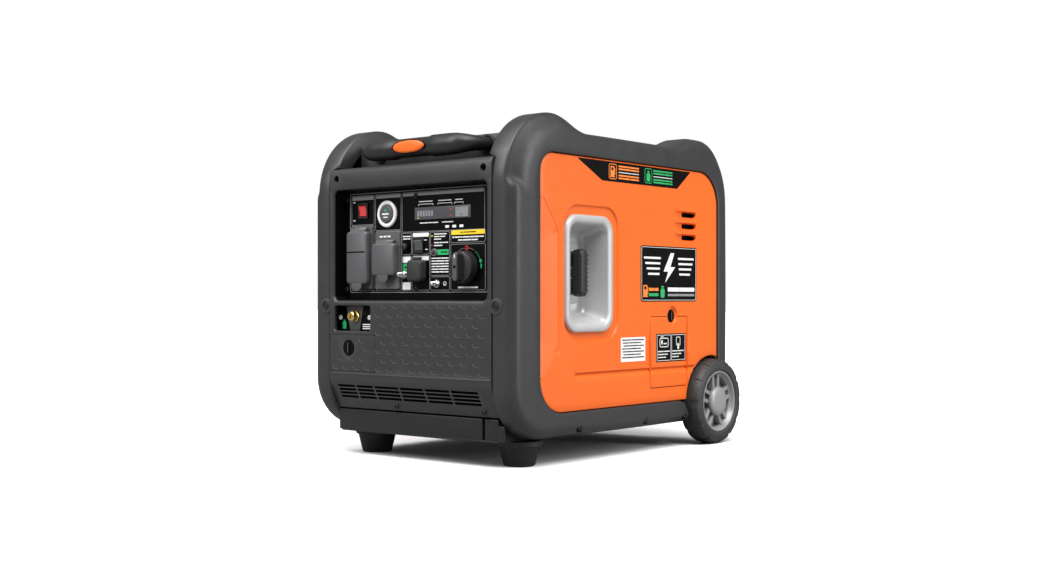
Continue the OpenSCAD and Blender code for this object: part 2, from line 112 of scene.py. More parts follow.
def circle(cu, cv, r, n=40):
    return arc(cu, cv, r, r, 0, 360 * (n - 1) / n, n - 1)


def wave(u0, v0, u1, v1, n=10):
    rise = (v1 - v0) / 2
    return [(u0 + (u1 - u0) * t, v0 + rise * (1 - math.cos(math.pi * t))) for t in np.linspace(0, 1, n + 1)]


def closed(loops):
    return [loop + loop[:1] for loop in loops]


def inset(loop, amount):
    """A loop moved inwards along its own normals; it runs anticlockwise."""
    points = np.array(loop, float)
    along = np.roll(points, -1, 0) - np.roll(points, 1, 0)
    normal = np.column_stack((-along[:, 1], along[:, 0])) / np.linalg.norm(along, axis=1)[:, None]
    return [tuple(p) for p in points + normal * amount]


def segments(line, closed):
    a = np.array(line, float)
    return (a, np.roll(a, -1, 0)) if closed else (a[:-1], a[1:])


def distance(points, line, closed=True):
    a, b = segments(line, closed)
    p = points[:, None, :]
    ab = b - a
    t = np.clip(((p - a) * ab).sum(2) / np.maximum((ab * ab).sum(1), 1e-12), 0, 1)
    return np.sqrt((((a + t[..., None] * ab) - p) ** 2).sum(2)).min(1)


def inside(points, loop):
    a, b = segments(loop, True)
    u, v = points[:, 0:1], points[:, 1:2]
    rise = np.where(b[:, 1] == a[:, 1], 1e-9, b[:, 1] - a[:, 1])
    crosses = (a[:, 1] > v) != (b[:, 1] > v)
    return (crosses & (u < a[:, 0] + (v - a[:, 1]) * (b[:, 0] - a[:, 0]) / rise)).sum(1) % 2 == 1


def ease(t):
    t = np.clip(t, 0, 1)
    return t * t * (3 - 2 * t)


def round_over(d, r):
    """How far a rounded edge of radius r has dropped at distance d from it."""
    return r - np.sqrt(np.maximum(r * r - (r - np.minimum(d, r)) ** 2, 0))


# ---- solids, as (points, faces) ----

def on_side(u, v, h):
    return (h, u, v)


def on_front(u, v, h):
    return (u, h, v)


def on_top(u, v, h):
    return (u, v, h)


def joined(*shapes):
    points, faces = [], []
    for shape_points, shape_faces in shapes:
        base = len(points)
        points += list(shape_points)
        faces += [tuple(i + base for i in face) for face in shape_faces]
    return points, faces


def mirrored(shape):
    return [(-x, d, z) for x, d, z in shape[0]], shape[1]


def both(shape):
    """A shape together with its mirror image."""
    return joined(shape, mirrored(shape))


def moved(shape, x, d, z):
    return [(px + x, pd + d, pz + z) for px, pd, pz in shape[0]], shape[1]


def turned(shape, axis, degrees, centre):
    turn = Matrix.Rotation(math.radians(degrees), 3, axis)
    c = Vector(centre)
    return [tuple(c + turn @ (Vector(p) - c)) for p in shape[0]], shape[1]


def loft(rings, caps=True, loop=False):
    """Skin through rings of equal length, capped at both ends or closed on itself."""
    count = len(rings[0])
    points = [p for ring in rings for p in ring]
    faces = []
    for r in range(len(rings) if loop else len(rings) - 1):
        a, b = r * count, (r + 1) % len(rings) * count
        faces += [(a + i, a + (i + 1) % count, b + (i + 1) % count, b + i) for i in range(count)]
    if caps and not loop:
        faces += [tuple(range(count)), tuple(range(len(points) - count, len(points)))]
    return points, faces


def prism(outline, low, high, place):
    return loft([[place(u, v, h) for u, v in outline] for h in (low, high)])


def ring_prism(outer, inner, low, high, place):
    """A band between two outlines of equal length."""
    corners = [(outer, low), (outer, high), (inner, high), (inner, low)]
    return loft([[place(u, v, h) for u, v in line] for line, h in corners], loop=True)


def block(low, high):
    (x0, d0, z0), (x1, d1, z1) = low, high
    return prism([(x0, d0), (x1, d0), (x1, d1), (x0, d1)], z0, z1, on_top)


def unit_circle(n):
    return [(math.cos(a), math.sin(a)) for a in np.linspace(0, 2 * math.pi, n, endpoint=False)]


def lathe(profile, centre, axis, n=48):
    """Turns a profile of (radius, height) about an axis through centre.

    The profile starts and ends at radius 0, or else closes on itself."""
    spin = unit_circle(n)
    place = {"X": on_side, "Y": on_front, "Z": on_top}[axis]
    rings = [[place(r * c, r * s, h) for c, s in spin] for r, h in profile]
    points, faces = loft(rings, caps=False, loop=profile[0][0] > 0)
    return moved((points, faces), *centre)


def sweep(path, radii, n):
    """A round bar along a path of (x, d, z), with a radius for each point."""
    line = [Vector(p) for p in path]
    side = None
    rings = []
    for i, (p, r) in enumerate(zip(line, radii)):
        along = (line[min(i + 1, len(line) - 1)] - line[max(i - 1, 0)]).normalized()
        if side is None:
            side = along.orthogonal().normalized()
        side = (side - along * side.dot(along)).normalized()
        up = along.cross(side)
        rings.append([tuple(p + side * r * c + up * r * s) for c, s in unit_circle(n)])
    return loft(rings)


def relief(outline, front, back, place, holes=(), lines=(), step=8):
    """A closed sheet over a flat outline with holes. front and back give the heights of its two faces."""
    border = [(loop, True) for loop in (outline, *holes)]
    drawn = border + [(line, False) for line in lines]
    flat, edges = [], []
    for line, closed in drawn:
        start, count = len(flat), len(line)
        flat += [tuple(p) for p in line]
        edges += [(start + i, start + (i + 1) % count) for i in range(count if closed else count - 1)]
    low, high = np.min(flat, 0), np.max(flat, 0)
    grid = np.array([(u, v) for u in np.arange(low[0] + step / 2, high[0], step)
                     for v in np.arange(low[1] + step / 2, high[1], step)])
    grid = grid[inside(grid, outline)]
    for line, closed in drawn:
        grid = grid[distance(grid, line, closed) > 0.35 * step]
    for hole in holes:
        grid = grid[~inside(grid, hole)]
    flat += [tuple(p) for p in grid]
    cut = delaunay_2d_cdt([Vector(p) for p in flat], edges, [], 0, 1e-5)
    spots = np.array([tuple(p) for p in cut[0]])
    centres = np.array([spots[list(face)].mean(0) for face in cut[2]])
    kept = inside(centres, outline)
    for hole in holes:
        kept &= ~inside(centres, hole)
    faces = [tuple(face) for face, keep in zip(cut[2], kept) if keep]
    sides = {(face[i], face[(i + 1) % len(face)]) for face in faces for i in range(len(face))}
    count = len(spots)
    walls = [(i, j, j + count, i + count) for i, j in sides if (j, i) not in sides]
    u, v = spots[:, 0], spots[:, 1]
    points = [place(*p) for p in zip(u, v, front(u, v))] + [place(*p) for p in zip(u, v, back(u, v))]
    return points, faces + [tuple(i + count for i in face) for face in faces] + walls


def edge_lines(outline, r, steps=(0.12, 0.45, 1.0)):
    """Guide lines that let a relief follow a rounded edge of radius r."""
    return closed(inset(outline, r * s) for s in steps)


# ---- pieces ----

def piece(name, shape, body, slot, material, *stands_for, bevel=0, sharp=32):
    """A closed mesh from a shape in mm. Edges over `sharp` degrees stay crisp, or are bevelled first."""
    points, faces = shape
    mesh = bpy.data.meshes.new(name)
    mesh.from_pydata([(x * MM, FRONT + d * MM, z * MM) for x, d, z in points], [], faces)
    work = bmesh.new()
    work.from_mesh(mesh)
    bmesh.ops.remove_doubles(work, verts=work.verts, dist=WELD)
    bmesh.ops.delete(work, geom=[v for v in work.verts if not v.link_faces], context="VERTS")
    bmesh.ops.recalc_face_normals(work, faces=work.faces)
    limit = math.radians(sharp)
    if bevel:
        crisp = [e for e in work.edges if len(e.link_faces) == 2 and e.calc_face_angle() > limit]
        bmesh.ops.bevel(work, geom=crisp, offset=bevel * MM, offset_type="OFFSET", segments=3, profile=0.5,
                        affect="EDGES", clamp_overlap=True)
    for face in work.faces:
        face.smooth = True
    for e in work.edges:
        e.smooth = len(e.link_faces) == 2 and e.calc_face_angle() < limit
    work.to_mesh(mesh)
    work.free()
    made = bpy.data.objects.new(name, mesh)
    bpy.context.scene.collection.objects.link(made)
    mesh.materials.append(material)
    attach(made, body)
    if stands_for:
        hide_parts(*stands_for)
    return made


# ---- materials ----

def surface(name, colour, rough, grain, mottle, metallic=0.0, wear=None, coat=0.0, streak=None, shine=0.5):
    """A finished surface: fine grain as bump, cloudy colour and gloss, and paler worn edges.

    grain is (size, strength); streak stretches the grain along an axis, as brushing or braiding does."""
    material = bpy.data.materials.new(name)
    material.use_nodes = True
    nodes, links = material.node_tree.nodes, material.node_tree.links
    shader = nodes["Principled BSDF"]
    shader.inputs["Metallic"].default_value = metallic
    shader.inputs["Coat Weight"].default_value = coat
    shader.inputs["Coat Roughness"].default_value = 0.25
    shader.inputs["Specular IOR Level"].default_value = shine
    where = nodes.new("ShaderNodeTexCoord")

    def noise(scale, detail, stretch=None):
        made = nodes.new("ShaderNodeTexNoise")
        made.inputs["Scale"].default_value = scale
        made.inputs["Detail"].default_value = detail
        source = where.outputs["Object"]
        if stretch:
            mapping = nodes.new("ShaderNodeMapping")
            mapping.inputs["Scale"].default_value = stretch
            links.new(source, mapping.inputs["Vector"])
            source = mapping.outputs["Vector"]
        links.new(source, made.inputs["Vector"])
        return made.outputs["Fac"]

    def spread(source, low, high, from_low=0.3, from_high=0.7):
        made = nodes.new("ShaderNodeMapRange")
        values = {"From Min": from_low, "From Max": from_high, "To Min": low, "To Max": high}
        for key, value in values.items():
            made.inputs[key].default_value = value
        links.new(source, made.inputs["Value"])
        return made.outputs["Result"]

    def mix(factor, a, b):
        made = nodes.new("ShaderNodeMix")
        made.data_type = "RGBA"
        links.new(factor, made.inputs["Factor"])
        for key, value in (("A", a), ("B", b)):
            socket = next(s for s in made.inputs if s.name == key and s.type == "RGBA")
            if isinstance(value, tuple):
                socket.default_value = (*value, 1)
            else:
                links.new(value, socket)
        return next(s for s in made.outputs if s.type == "RGBA")

    cloudy = noise(14, 4)
    darker = tuple(c * (1 - mottle) for c in colour)
    paler = tuple(min(c * (1 + mottle), 1) for c in colour)
    shade = mix(spread(cloudy, 0, 1), darker, paler)
    speckle = spread(noise(2600, 2), 0, 0.22)
    shade = mix(speckle, shade, tuple(c * 0.72 for c in colour))
    if wear:
        worn = spread(nodes.new("ShaderNodeNewGeometry").outputs["Pointiness"], 0, 0.35, 0.53, 0.62)
        shade = mix(worn, shade, wear)
    links.new(shade, shader.inputs["Base Color"])
    links.new(spread(noise(45, 5), rough - 0.05, rough + 0.05), shader.inputs["Roughness"])
    bump = nodes.new("ShaderNodeBump")
    bump.inputs["Strength"].default_value = grain[1]
    bump.inputs["Distance"].default_value = 0.0004
    links.new(noise(grain[0], 3, streak), bump.inputs["Height"])
    links.new(bump.outputs["Normal"], shader.inputs["Normal"])
    return material


CHARCOAL = surface("charcoal_plastic", (0.024, 0.0245, 0.026), 0.40, (1500, 0.30), 0.07,
                   wear=(0.085, 0.085, 0.09), shine=0.45)
TRIM = surface("dark_charcoal_plastic", (0.012, 0.0125, 0.0135), 0.40, (1500, 0.3), 0.07,
               wear=(0.05, 0.05, 0.055), shine=0.4)
ORANGE = surface("orange_plastic", (0.80, 0.130, 0.009), 0.42, (1300, 0.08), 0.03, shine=0.35)
BLACK = surface("black_plastic", (0.0018, 0.0018, 0.002), 0.40, (1200, 0.1), 0.1, shine=0.08)
GREY = surface("grey_plastic", (0.066, 0.067, 0.070), 0.42, (1400, 0.25), 0.06, wear=(0.2, 0.2, 0.2))
SILVER = surface("silver_plastic", (0.46, 0.46, 0.46), 0.36, (1600, 0.1), 0.05, metallic=0.2)
RIM = surface("rim_plastic", (0.27, 0.275, 0.28), 0.38, (1500, 0.2), 0.05, metallic=0.25)
WHITE = surface("white_plastic", (0.78, 0.78, 0.77), 0.35, (1200, 0.05), 0.02)
RED = surface("red_plastic", (0.70, 0.035, 0.04), 0.3, (1200, 0.05), 0.05, coat=0.3)
PALE = surface("pale_print", (0.24, 0.24, 0.25), 0.5, (1200, 0.05), 0.04, shine=0.3)
YELLOW = surface("yellow_print", (0.90, 0.62, 0.02), 0.5, (1200, 0.05), 0.03)
GREEN = surface("green_print", (0.01, 0.36, 0.10), 0.5, (1200, 0.05), 0.04)
TANGERINE = surface("orange_print", (0.90, 0.22, 0.02), 0.5, (1200, 0.05), 0.04)
RUBBER = surface("rubber", (0.011, 0.011, 0.012), 0.6, (700, 0.5), 0.12, wear=(0.04, 0.04, 0.04))
TYRE = surface("tyre", (0.022, 0.022, 0.023), 0.55, (600, 0.5), 0.12, wear=(0.06, 0.06, 0.06))
DISPLAY = surface("display", (0.07, 0.072, 0.075), 0.3, (400, 0.02), 0.05, shine=0.3)
PAINTED = surface("painted_steel", (0.013, 0.0133, 0.014), 0.45, (700, 0.3), 0.08,
                  wear=(0.06, 0.06, 0.06), shine=0.25)
STEEL = surface("steel", (0.56, 0.57, 0.58), 0.28, (500, 0.2), 0.08, metallic=1.0, streak=(1, 1, 12))
ALUMINIUM = surface("aluminium", (0.46, 0.47, 0.48), 0.45, (420, 0.6), 0.1, metallic=0.9)
BRASS = surface("brass", (0.78, 0.60, 0.22), 0.26, (600, 0.15), 0.08, metallic=1.0, streak=(1, 9, 1))
COPPER = surface("copper_winding", (0.45, 0.18, 0.05), 0.35, (300, 0.9), 0.15, metallic=0.8,
                 streak=(12, 1, 1))
ROPE = surface("rope", (0.022, 0.022, 0.024), 0.85, (500, 1.0), 0.2, streak=(1, 1.6, 1.6))

CAD_FINISH = {
    "charcoal_plastic": CHARCOAL, "orange_plastic": ORANGE, "black_plastic": BLACK, "grey_plastic": GREY,
    "silver_plastic": SILVER, "white_plastic": WHITE, "red_plastic": RED, "pale_plastic": SILVER,
    "rubber": RUBBER, "tyre": TYRE, "display": DISPLAY, "painted_steel": PAINTED, "steel": STEEL,
    "aluminium": ALUMINIUM, "brass": BRASS, "copper_winding": COPPER, "rope": ROPE,
}


def finish_cad_nodes():
    for part in frame["record"]["subparts"]:
        node = frame["nodes"][part["node"]]
        node.data.materials.clear()
        node.data.materials.append(CAD_FINISH[part["material_slot"]])


# ---- side frames and panels ----

SIDE_LOW, SIDE_HIGH = cad("side_frame_right")
LENGTH = SIDE_HIGH.y
HUMP = SIDE_HIGH.z
OUTSIDE = SIDE_HIGH.x
RAIL = SIDE_LOW.z
FRAME_IN = 178
HUMP_IN = SIDE_LOW.x
BEAM_TOP = 473
WHEEL = middle("rim_right")
ARCH = 79
FRAME_EYE = np.array([330.0, 270.0])
ROUND_R, INNER_R, LIP_R = 18, 4, 2.5
RIDGE_N = [0, 0.5, 1.8, 3.8, 7, 11, 16, 21, 27, 34, 42]
RIDGE_X = [16.5, 15.2, 14.2, 13.2, 11.8, 10.0, 7.6, 5.2, 2.8, 0.9, 0]
PANEL = cad("side_panel_right")[1].x


def side_outline():
    return (arc(84, 128, 84, 84, 270, 180, 16) + arc(112, HUMP - 112, 112, 112, 180, 90, 24)
            + wave(112, HUMP, 200, 521, 14) + wave(415, 521, 500, 541, 12)
            + arc(LENGTH - 82, 430, 82, 111, 90, 0, 20) + [(LENGTH, 100), (560, RAIL)])[::-1]


def window_outline():
    return (arc(124, 138, 56, 56, 270, 180, 12) + arc(101, 451, 33, 33, 180, 90, 10)
            + arc(518, 423, 61, 61, 90, 0, 14) + [(579, 82)])[::-1]


def arched(loop, r):
    """The loop, anticlockwise, with its rear lower corner cut away by the wheel arch."""
    hub = np.array([WHEEL.y, WHEEL.z])
    away = [np.linalg.norm(np.array(p) - hub) > r for p in loop]
    first = away.index(False)
    loop, away = loop[first:] + loop[:first], away[first:] + away[:first]
    kept = [p for p, keep in zip(loop, away) if keep]
    flat_v, flat_u = kept[-1][1], kept[0][0]
    start = math.degrees(math.atan2(flat_v - hub[1], -math.sqrt(r * r - (flat_v - hub[1]) ** 2)))
    end = math.degrees(math.atan2(math.sqrt(r * r - (flat_u - hub[0]) ** 2), flat_u - hub[0]))
    return kept + arc(*hub, r, r, start % 360, end % 360, 20)


def ray_hits(loop, centre, angles):
    """Where rays from centre leave the loop, and the loop's inward normal there."""
    a, b = segments(loop, True)
    hits, normals = [], []
    for angle in angles:
        ray = np.array([math.cos(angle), math.sin(angle)])
        edge = b - a
        cross = ray[0] * edge[:, 1] - ray[1] * edge[:, 0]
        cross = np.where(abs(cross) < 1e-12, 1e-12, cross)
        to = a - centre
        t = (to[:, 0] * edge[:, 1] - to[:, 1] * edge[:, 0]) / cross
        s = (to[:, 0] * ray[1] - to[:, 1] * ray[0]) / cross
        t = np.where((s >= -1e-9) & (s <= 1 + 1e-9) & (t > 0), t, -1)
        best = int(t.argmax())
        hits.append(centre + ray * t[best])
        normals.append(np.array([-edge[best, 1], edge[best, 0]]) / np.linalg.norm(edge[best]))
    normals = np.array(normals)
    smooth = normals.copy()
    for _ in range(3):
        smooth[1:-1] = (smooth[:-2] + smooth[1:-1] + smooth[2:]) / 3
    return np.array(hits), smooth / np.linalg.norm(smooth, axis=1)[:, None]


def side_frame_shape():
    """A moulded ring between the casing's silhouette and the panel's window, open at the wheel arch.

    ROUND_R rounds its outer edge, except by the front hump, where RIDGE_N and RIDGE_X give a ridge."""
    angles = np.radians(np.linspace(-25.6, 303.5, 380))
    outer, normal = ray_hits(side_outline(), FRAME_EYE, angles)
    window, _ = ray_hits(window_outline(), FRAME_EYE, angles)
    quarter = np.radians(np.linspace(0, 90, 8))
    round_n = [ROUND_R * (1 - math.cos(a)) for a in quarter] + [26, 34, 42]
    round_x = [ROUND_R * (1 - math.sin(a)) for a in quarter] + [0, 0, 0]
    rings = []
    for p, n, w in zip(outer, normal, window):
        span = np.linalg.norm(p - w)
        toward = (p - w) / span
        x_in = HUMP_IN if p[1] > BEAM_TOP + 1 else FRAME_IN
        ridge = float(ease((p[1] - 426) / 16) * (1 - ease((p[0] - 60) / 130)))
        squeeze = min(1, (span - LIP_R - 1) / 46)
        ring = [(p + n * 27, x_in), (p + n * INNER_R, x_in)]
        ring += [(p + n * INNER_R * (1 - math.sin(a)), x_in + INNER_R * (1 - math.cos(a)))
                 for a in np.radians((30, 60, 90))]
        for n_round, x_round, n_ridge, x_ridge in zip(round_n, round_x, RIDGE_N, RIDGE_X):
            back = squeeze * (n_round + (n_ridge - n_round) * ridge)
            drop = squeeze * (x_round + (x_ridge - x_round) * ridge)
            near = min(back, 14)
            ring.append((p + n * near - toward * (back - near), OUTSIDE - drop))
        start, end = ring[-1][0], w + toward * LIP_R
        ring += [(start + (end - start) * s, OUTSIDE) for s in (0.5, 1.0)]
        ring += [(w + toward * LIP_R * (1 - math.sin(a)), OUTSIDE - LIP_R * (1 - math.cos(a)))
                 for a in np.radians((45, 90))]
        ring += [(w + toward * out, PANEL - deep) for out, deep in ((0, 9.5), (-7, 9.5), (-7, 11.5), (5, 11.5))]
        rings.append([(x, q[0], q[1]) for q, x in ring])
    return loft(rings)


def side_frames():
    shape = side_frame_shape()
    for side, flipped in (("right", shape), ("left", mirrored(shape))):
        node = f"side_frame_{side}"
        piece(f"{node}_shell", flipped, CASING, "charcoal_plastic", CHARCOAL, node, sharp=38)


CREASE = [(79, 412), (114, 366), (115, 180), (72, 134)]
POCKET = ((129, 192), (274, 407), 34)
DOOR_LOW, DOOR_HIGH = cad("service_door")
LATCH = middle("service_latch")
SLOTS = [(433, z, 508, z + 12) for z in (359, 379, 399)]
GROOVE = (158, 505, 138.5)


def panel_height(pocket, slots=True):
    """The orange panels' outer face: a bent leading edge, a step round the tray, a long groove and three scoops."""
    outline = inset(arched(window_outline(), ARCH + 1), 1.3)
    lead = CREASE + [(40, 134), (40, 412)]
    step = round_rect(*POCKET, 8)

    def height(u, v):
        p = np.column_stack((u, v))
        x = np.full(len(u), PANEL - 0.2)
        bend = distance(p, CREASE, False)
        x -= np.where(inside(p, lead), 0.14 * bend, 0) + np.maximum(1 - bend / 1.4, 0)
        if pocket:
            x -= np.where(inside(p, step), 3.0 * ease(distance(p, step) / 2.4), 0)
        run = ease((u - GROOVE[0]) / 3) * ease((GROOVE[1] - u) / 3)
        up = v - GROOVE[2]
        x -= run * 4.6 * np.where(up > 3.2, ease((4.2 - up) / 1.0), ease((up + 7) / 10.2))
        if slots:
            for u0, v0, u1, v1 in SLOTS:
                slot = round_rect((u0, v0), (u1, v1), 4)
                x -= np.where(inside(p, slot), 5.5 * ease((u - u0) / 40) * ease(distance(p, slot) / 1.6), 0)
        return x - round_over(distance(p, outline), 1.6)
    return outline, height


def panel_lines(outline, pocket, slots=True):
    lines = edge_lines(outline, 1.6, (0.3, 1.0)) + [[(u + a, v) for u, v in CREASE] for a in (-1.4, 0, 1.4)]
    lines += [[(GROOVE[0] + a, GROOVE[2] + b), (GROOVE[1] - a, GROOVE[2] + b)]
              for a, b in ((0, 4.2), (1, 3.7), (2, 3.2), (2, 0), (2, -3), (0, -7))]
    if pocket:
        step = round_rect(*POCKET, 8)
        lines += closed(inset(step, s) for s in (0, 0.8, 1.6, 2.4))
    if slots:
        for u0, v0, u1, v1 in SLOTS:
            slot = round_rect((u0, v0), (u1, v1), 4, 4)
            lines += closed(inset(slot, s) for s in (0, 0.8, 1.6))
    return lines


def door_outline(grow):
    u0, v0, u1, v1 = DOOR_LOW.y - grow, DOOR_LOW.z - grow, DOOR_HIGH.y + grow, 228 + grow
    r = 16 + grow
    reach = math.degrees(math.asin((v1 - LATCH.z) / r))
    return (arc(u1 - 5, v0 + 5, 5, 5, 270, 360, 4) + arc(u1 - 5, v1 - 5, 5, 5, 0, 90, 4)
            + arc(LATCH.y, LATCH.z, r, r, reach, 180 - reach, 16)
            + arc(u0 + 5, v1 - 5, 5, 5, 90, 180, 4) + arc(u0 + 5, v0 + 5, 5, 5, 180, 270, 4))


def trimmed(line_list, keep):
    """The guide lines' own stretches for which keep holds, so that none runs through a hole."""
    runs = []
    for line in line_list:
        dense = [line[0]]
        for a, b in zip(line[:-1], line[1:]):
            n = max(1, int(math.dist(a, b) / 3))
            dense += [(a[0] + (b[0] - a[0]) * i / n, a[1] + (b[1] - a[1]) * i / n) for i in range(1, n + 1)]
        flags = keep(np.array(dense))
        run = []
        for p, flag in zip(dense, flags):
            if flag:
                run.append(p)
            elif len(run) > 1:
                runs.append(run)
                run = []
            else:
                run = []
        if len(run) > 1:
            runs.append(run)
    return runs


def skin(height, thick=3.2):
    """A panel's hidden face, a little behind its outer one."""
    return lambda u, v: height(u, v) - thick


def side_panels():
    """The right panel with its tray hole and service door, and the plainer left one."""
    outline, height = panel_height(True)
    tray = round_rect((137, 211), (253, 386), 26, 8)
    door = door_outline(0.9)
    throats = [round_rect((470, v0 + 1.8), (508, v1 - 1.8), 3.8, 5) for _, v0, _, v1 in SLOTS]

    def clear(p):
        return ~inside(p, tray) & ~inside(p, door) & (distance(p, tray) > 0.4) & (distance(p, door) > 0.4)

    lines = trimmed(panel_lines(outline, True), clear)
    shape = relief(outline, height, skin(height), on_side, [tray, door, *throats], lines, 9)
    piece("side_panel_right_shell", shape, CASING, "orange_plastic", ORANGE, "side_panel_right")

    # Black plates behind the louvre throats are painted shade: they make the insides of the slots read dark.
    louvre_shade = prism(round_rect((458, 350), (520, 420), 6), PANEL - 17, PANEL - 15, on_side)
    piece("louvre_painted_shade", both(louvre_shade), CASING, "black_plastic", BLACK)
    # A black ring behind the door's edge is painted shade: it makes the gap round the door read dark.
    door_gap_shade = ring_prism(door_outline(6), door_outline(-4), PANEL - 11.5, PANEL - 9.5, on_side)
    piece("service_door_gap_shade", door_gap_shade, CASING, "black_plastic", BLACK)
    service_door(outline, height)

    outline, height = panel_height(False)
    shape = relief(outline, height, skin(height), on_side, throats, panel_lines(outline, False), 10)
    piece("side_panel_left_shell", mirrored(shape), CASING, "orange_plastic", ORANGE, "side_panel_left")


def service_door(outline, height):
    """The door's leaf follows the panel, with a dished seat round the latch."""
    leaf = door_outline(-0.2)
    bore = circle(LATCH.y, LATCH.z, 11.4, 32)
    dish_r, dish_slope, dish_deep = 14.8, 2.4, 2.6

    def leaf_height(u, v):
        edge = round_over(distance(np.column_stack((u, v)), leaf), 0.8)
        return height(u, v) - edge - dish_deep * ease((dish_r - np.hypot(u - LATCH.y, v - LATCH.z)) / dish_slope)

    def within(p):
        return inside(p, leaf) & (distance(p, leaf) > 0.4) & (distance(p, bore) > 0.4) & ~inside(p, bore)

    lines = trimmed(panel_lines(outline, False, False), within) + edge_lines(leaf, 0.8, (0.4, 1.0))
    lines += closed(circle(LATCH.y, LATCH.z, r, 32) for r in (dish_r, dish_r - dish_slope))
    shape = relief(leaf, leaf_height, skin(leaf_height), on_side, [bore], lines, 8)
    piece("service_door_leaf", shape, "service_door", "orange_plastic", ORANGE, "service_door")


# ---- front cover ----

COVER_X = 177.5
BEND_Z = 124
RECESS = ((-167, 256), (167, 437), 9)
COVER_LOW = cad("front_cover")[0].z
ACCESS_LOW, ACCESS_HIGH = cad("access_cover")
ACCESS_LATCH = middle("access_latch")
BOSS = (186.6, 247.5)
VENT_ROWS = (96, 102, 108, 114)
VENT_RIBS = (-162.5, -119, -77, -20, 35, 90, 149)
BEAM_SCREW = (161, 456)
LOW_SCREW_X, LOW_SCREW_Z = (-38, 148), 86
FOLD_LINES = (464, 466.5, 469, 471, 472.4, 137.5, 136, 134.5, 129, 126, 124, 121, 118.5)


def front_height(u, v):
    """Upright, leaning back below the bend, with a rounded beam along the top and a soft lip round the recess."""
    p = np.column_stack((u, v))
    fall = (BEND_Z - v) / 45
    lean = 22 * np.where(fall > 0.12, fall, np.maximum(fall + 0.12, 0) ** 2 / 0.48)
    beam = round_over(BEAM_TOP - v, 9) + 1.6 * ease((v - 437) / 4) * ((v - 452) / 20) ** 2
    fold = 0.7 * np.maximum(1 - abs(v - 136) / 1.5, 0)
    return lean + beam - fold + round_over(distance(p, round_rect(*RECESS, 8)), 4.5)


def vent_slots():
    return [round_rect((u0 + 1.5, z), (u1 - 1.5, z + 4), 1.2, 3)
            for u0, u1 in zip(VENT_RIBS[:-1], VENT_RIBS[1:]) for z in VENT_ROWS]


def ridge(a, b):
    """One tapered ridge on the front plane, from a to b."""
    a, b = Vector(a), Vector(b)
    along = (b - a).normalized()
    side = Vector((-along.y, along.x))
    foot = [a - side * 1.3, b - side * 1.3, b + side, a + side]
    a, b = a + along * 0.8, b - along * 0.8
    top = [a, b, b + side * 0.2, a + side * 0.2]
    return loft([[on_front(*q, d) for q in ring] for ring, d in ((foot, 0.3), (top, -0.36))])


def scale_ridges(low, high, keep):
    """Rows of short hooked ridges, staggered like scales."""
    shapes = []
    for row, z in enumerate(np.arange(low[1], high[1], 14.6)):
        for x in np.arange(low[0] + (row % 2) * 12, high[0] - 10, 24.5):
            if keep(x, z):
                shapes += [ridge((x - 3.2, z + 5.5), (x, z)), ridge((x, z), (x + 10.5, z))]
    return joined(*shapes)


def front_cover():
    """The cover with its screw ears, recess, inlet window and vents, cut away for the access cover."""
    ear, gap = 12.5, 0.5
    reach = math.degrees(math.acos((BOSS[0] - COVER_X) / ear))
    right = arc(*BOSS, ear, ear, reach - 180, 180 - reach, 16)
    left = [(-u, v) for u, v in right[::-1]]
    top, low, side = ACCESS_HIGH.z + gap, ACCESS_LOW.z - gap, ACCESS_HIGH.x + 0.6
    outline = ([(-COVER_X, COVER_LOW), (COVER_X, COVER_LOW)] + right
               + [(COVER_X, BEAM_TOP), (-COVER_X, BEAM_TOP)] + left
               + [(-COVER_X, top), (side, top), (side, low), (-COVER_X, low)])
    # Black strips behind the seams at the cover's sides are painted shade, so the gaps there read dark.
    seam_shades = [block((171, 20, z0), (181, 24, z1)) for z0, z1 in ((204, 250), (258, 440))]
    piece("seam_gap_shades", joined(*seam_shades, *[mirrored(strip) for strip in seam_shades]), CASING, "black_plastic", BLACK)
    recess = round_rect(*RECESS, 8)
    window = round_rect((-166, 206), (-82, 247.5), 4, 4)
    screws = [circle(s * BEAM_SCREW[0], BEAM_SCREW[1], 6, 20) for s in SIDES]
    screws += [circle(x, LOW_SCREW_Z, 3.4, 16) for x in LOW_SCREW_X]
    ears = [circle(s * BOSS[0], BOSS[1], 6, 24) for s in SIDES]

    def height(u, v):
        p = np.column_stack((u, v))
        raised = np.where(abs(u) > COVER_X - 0.1, -0.9, 0)
        return front_height(u, v) + raised + round_over(distance(p, outline), 0.7) + round_over(distance(p, window), 2)

    lines = edge_lines(outline, 0.7, (0.4, 1.0))
    for loop, r in ((recess, 4.5), (window, 2)):
        lines += closed(inset(loop, -r * s) for s in (0.12, 0.4, 1.0))
    lines += [[(-COVER_X, z), (COVER_X, z)] for z in FOLD_LINES]
    lines = trimmed(lines, lambda p: inside(p, outline) & ~inside(p, recess) & (distance(p, recess) > 0.3))
    holes = [recess, window, *screws, *ears, *vent_slots()]
    shape = relief(outline, height, skin(height, -3), on_front, holes, lines, 9)
    ridges = scale_ridges((-66, 141), (166, 245), lambda x, z: True)
    piece("front_cover_shell", joined(shape, ridges), CASING, "charcoal_plastic", CHARCOAL, "front_cover")


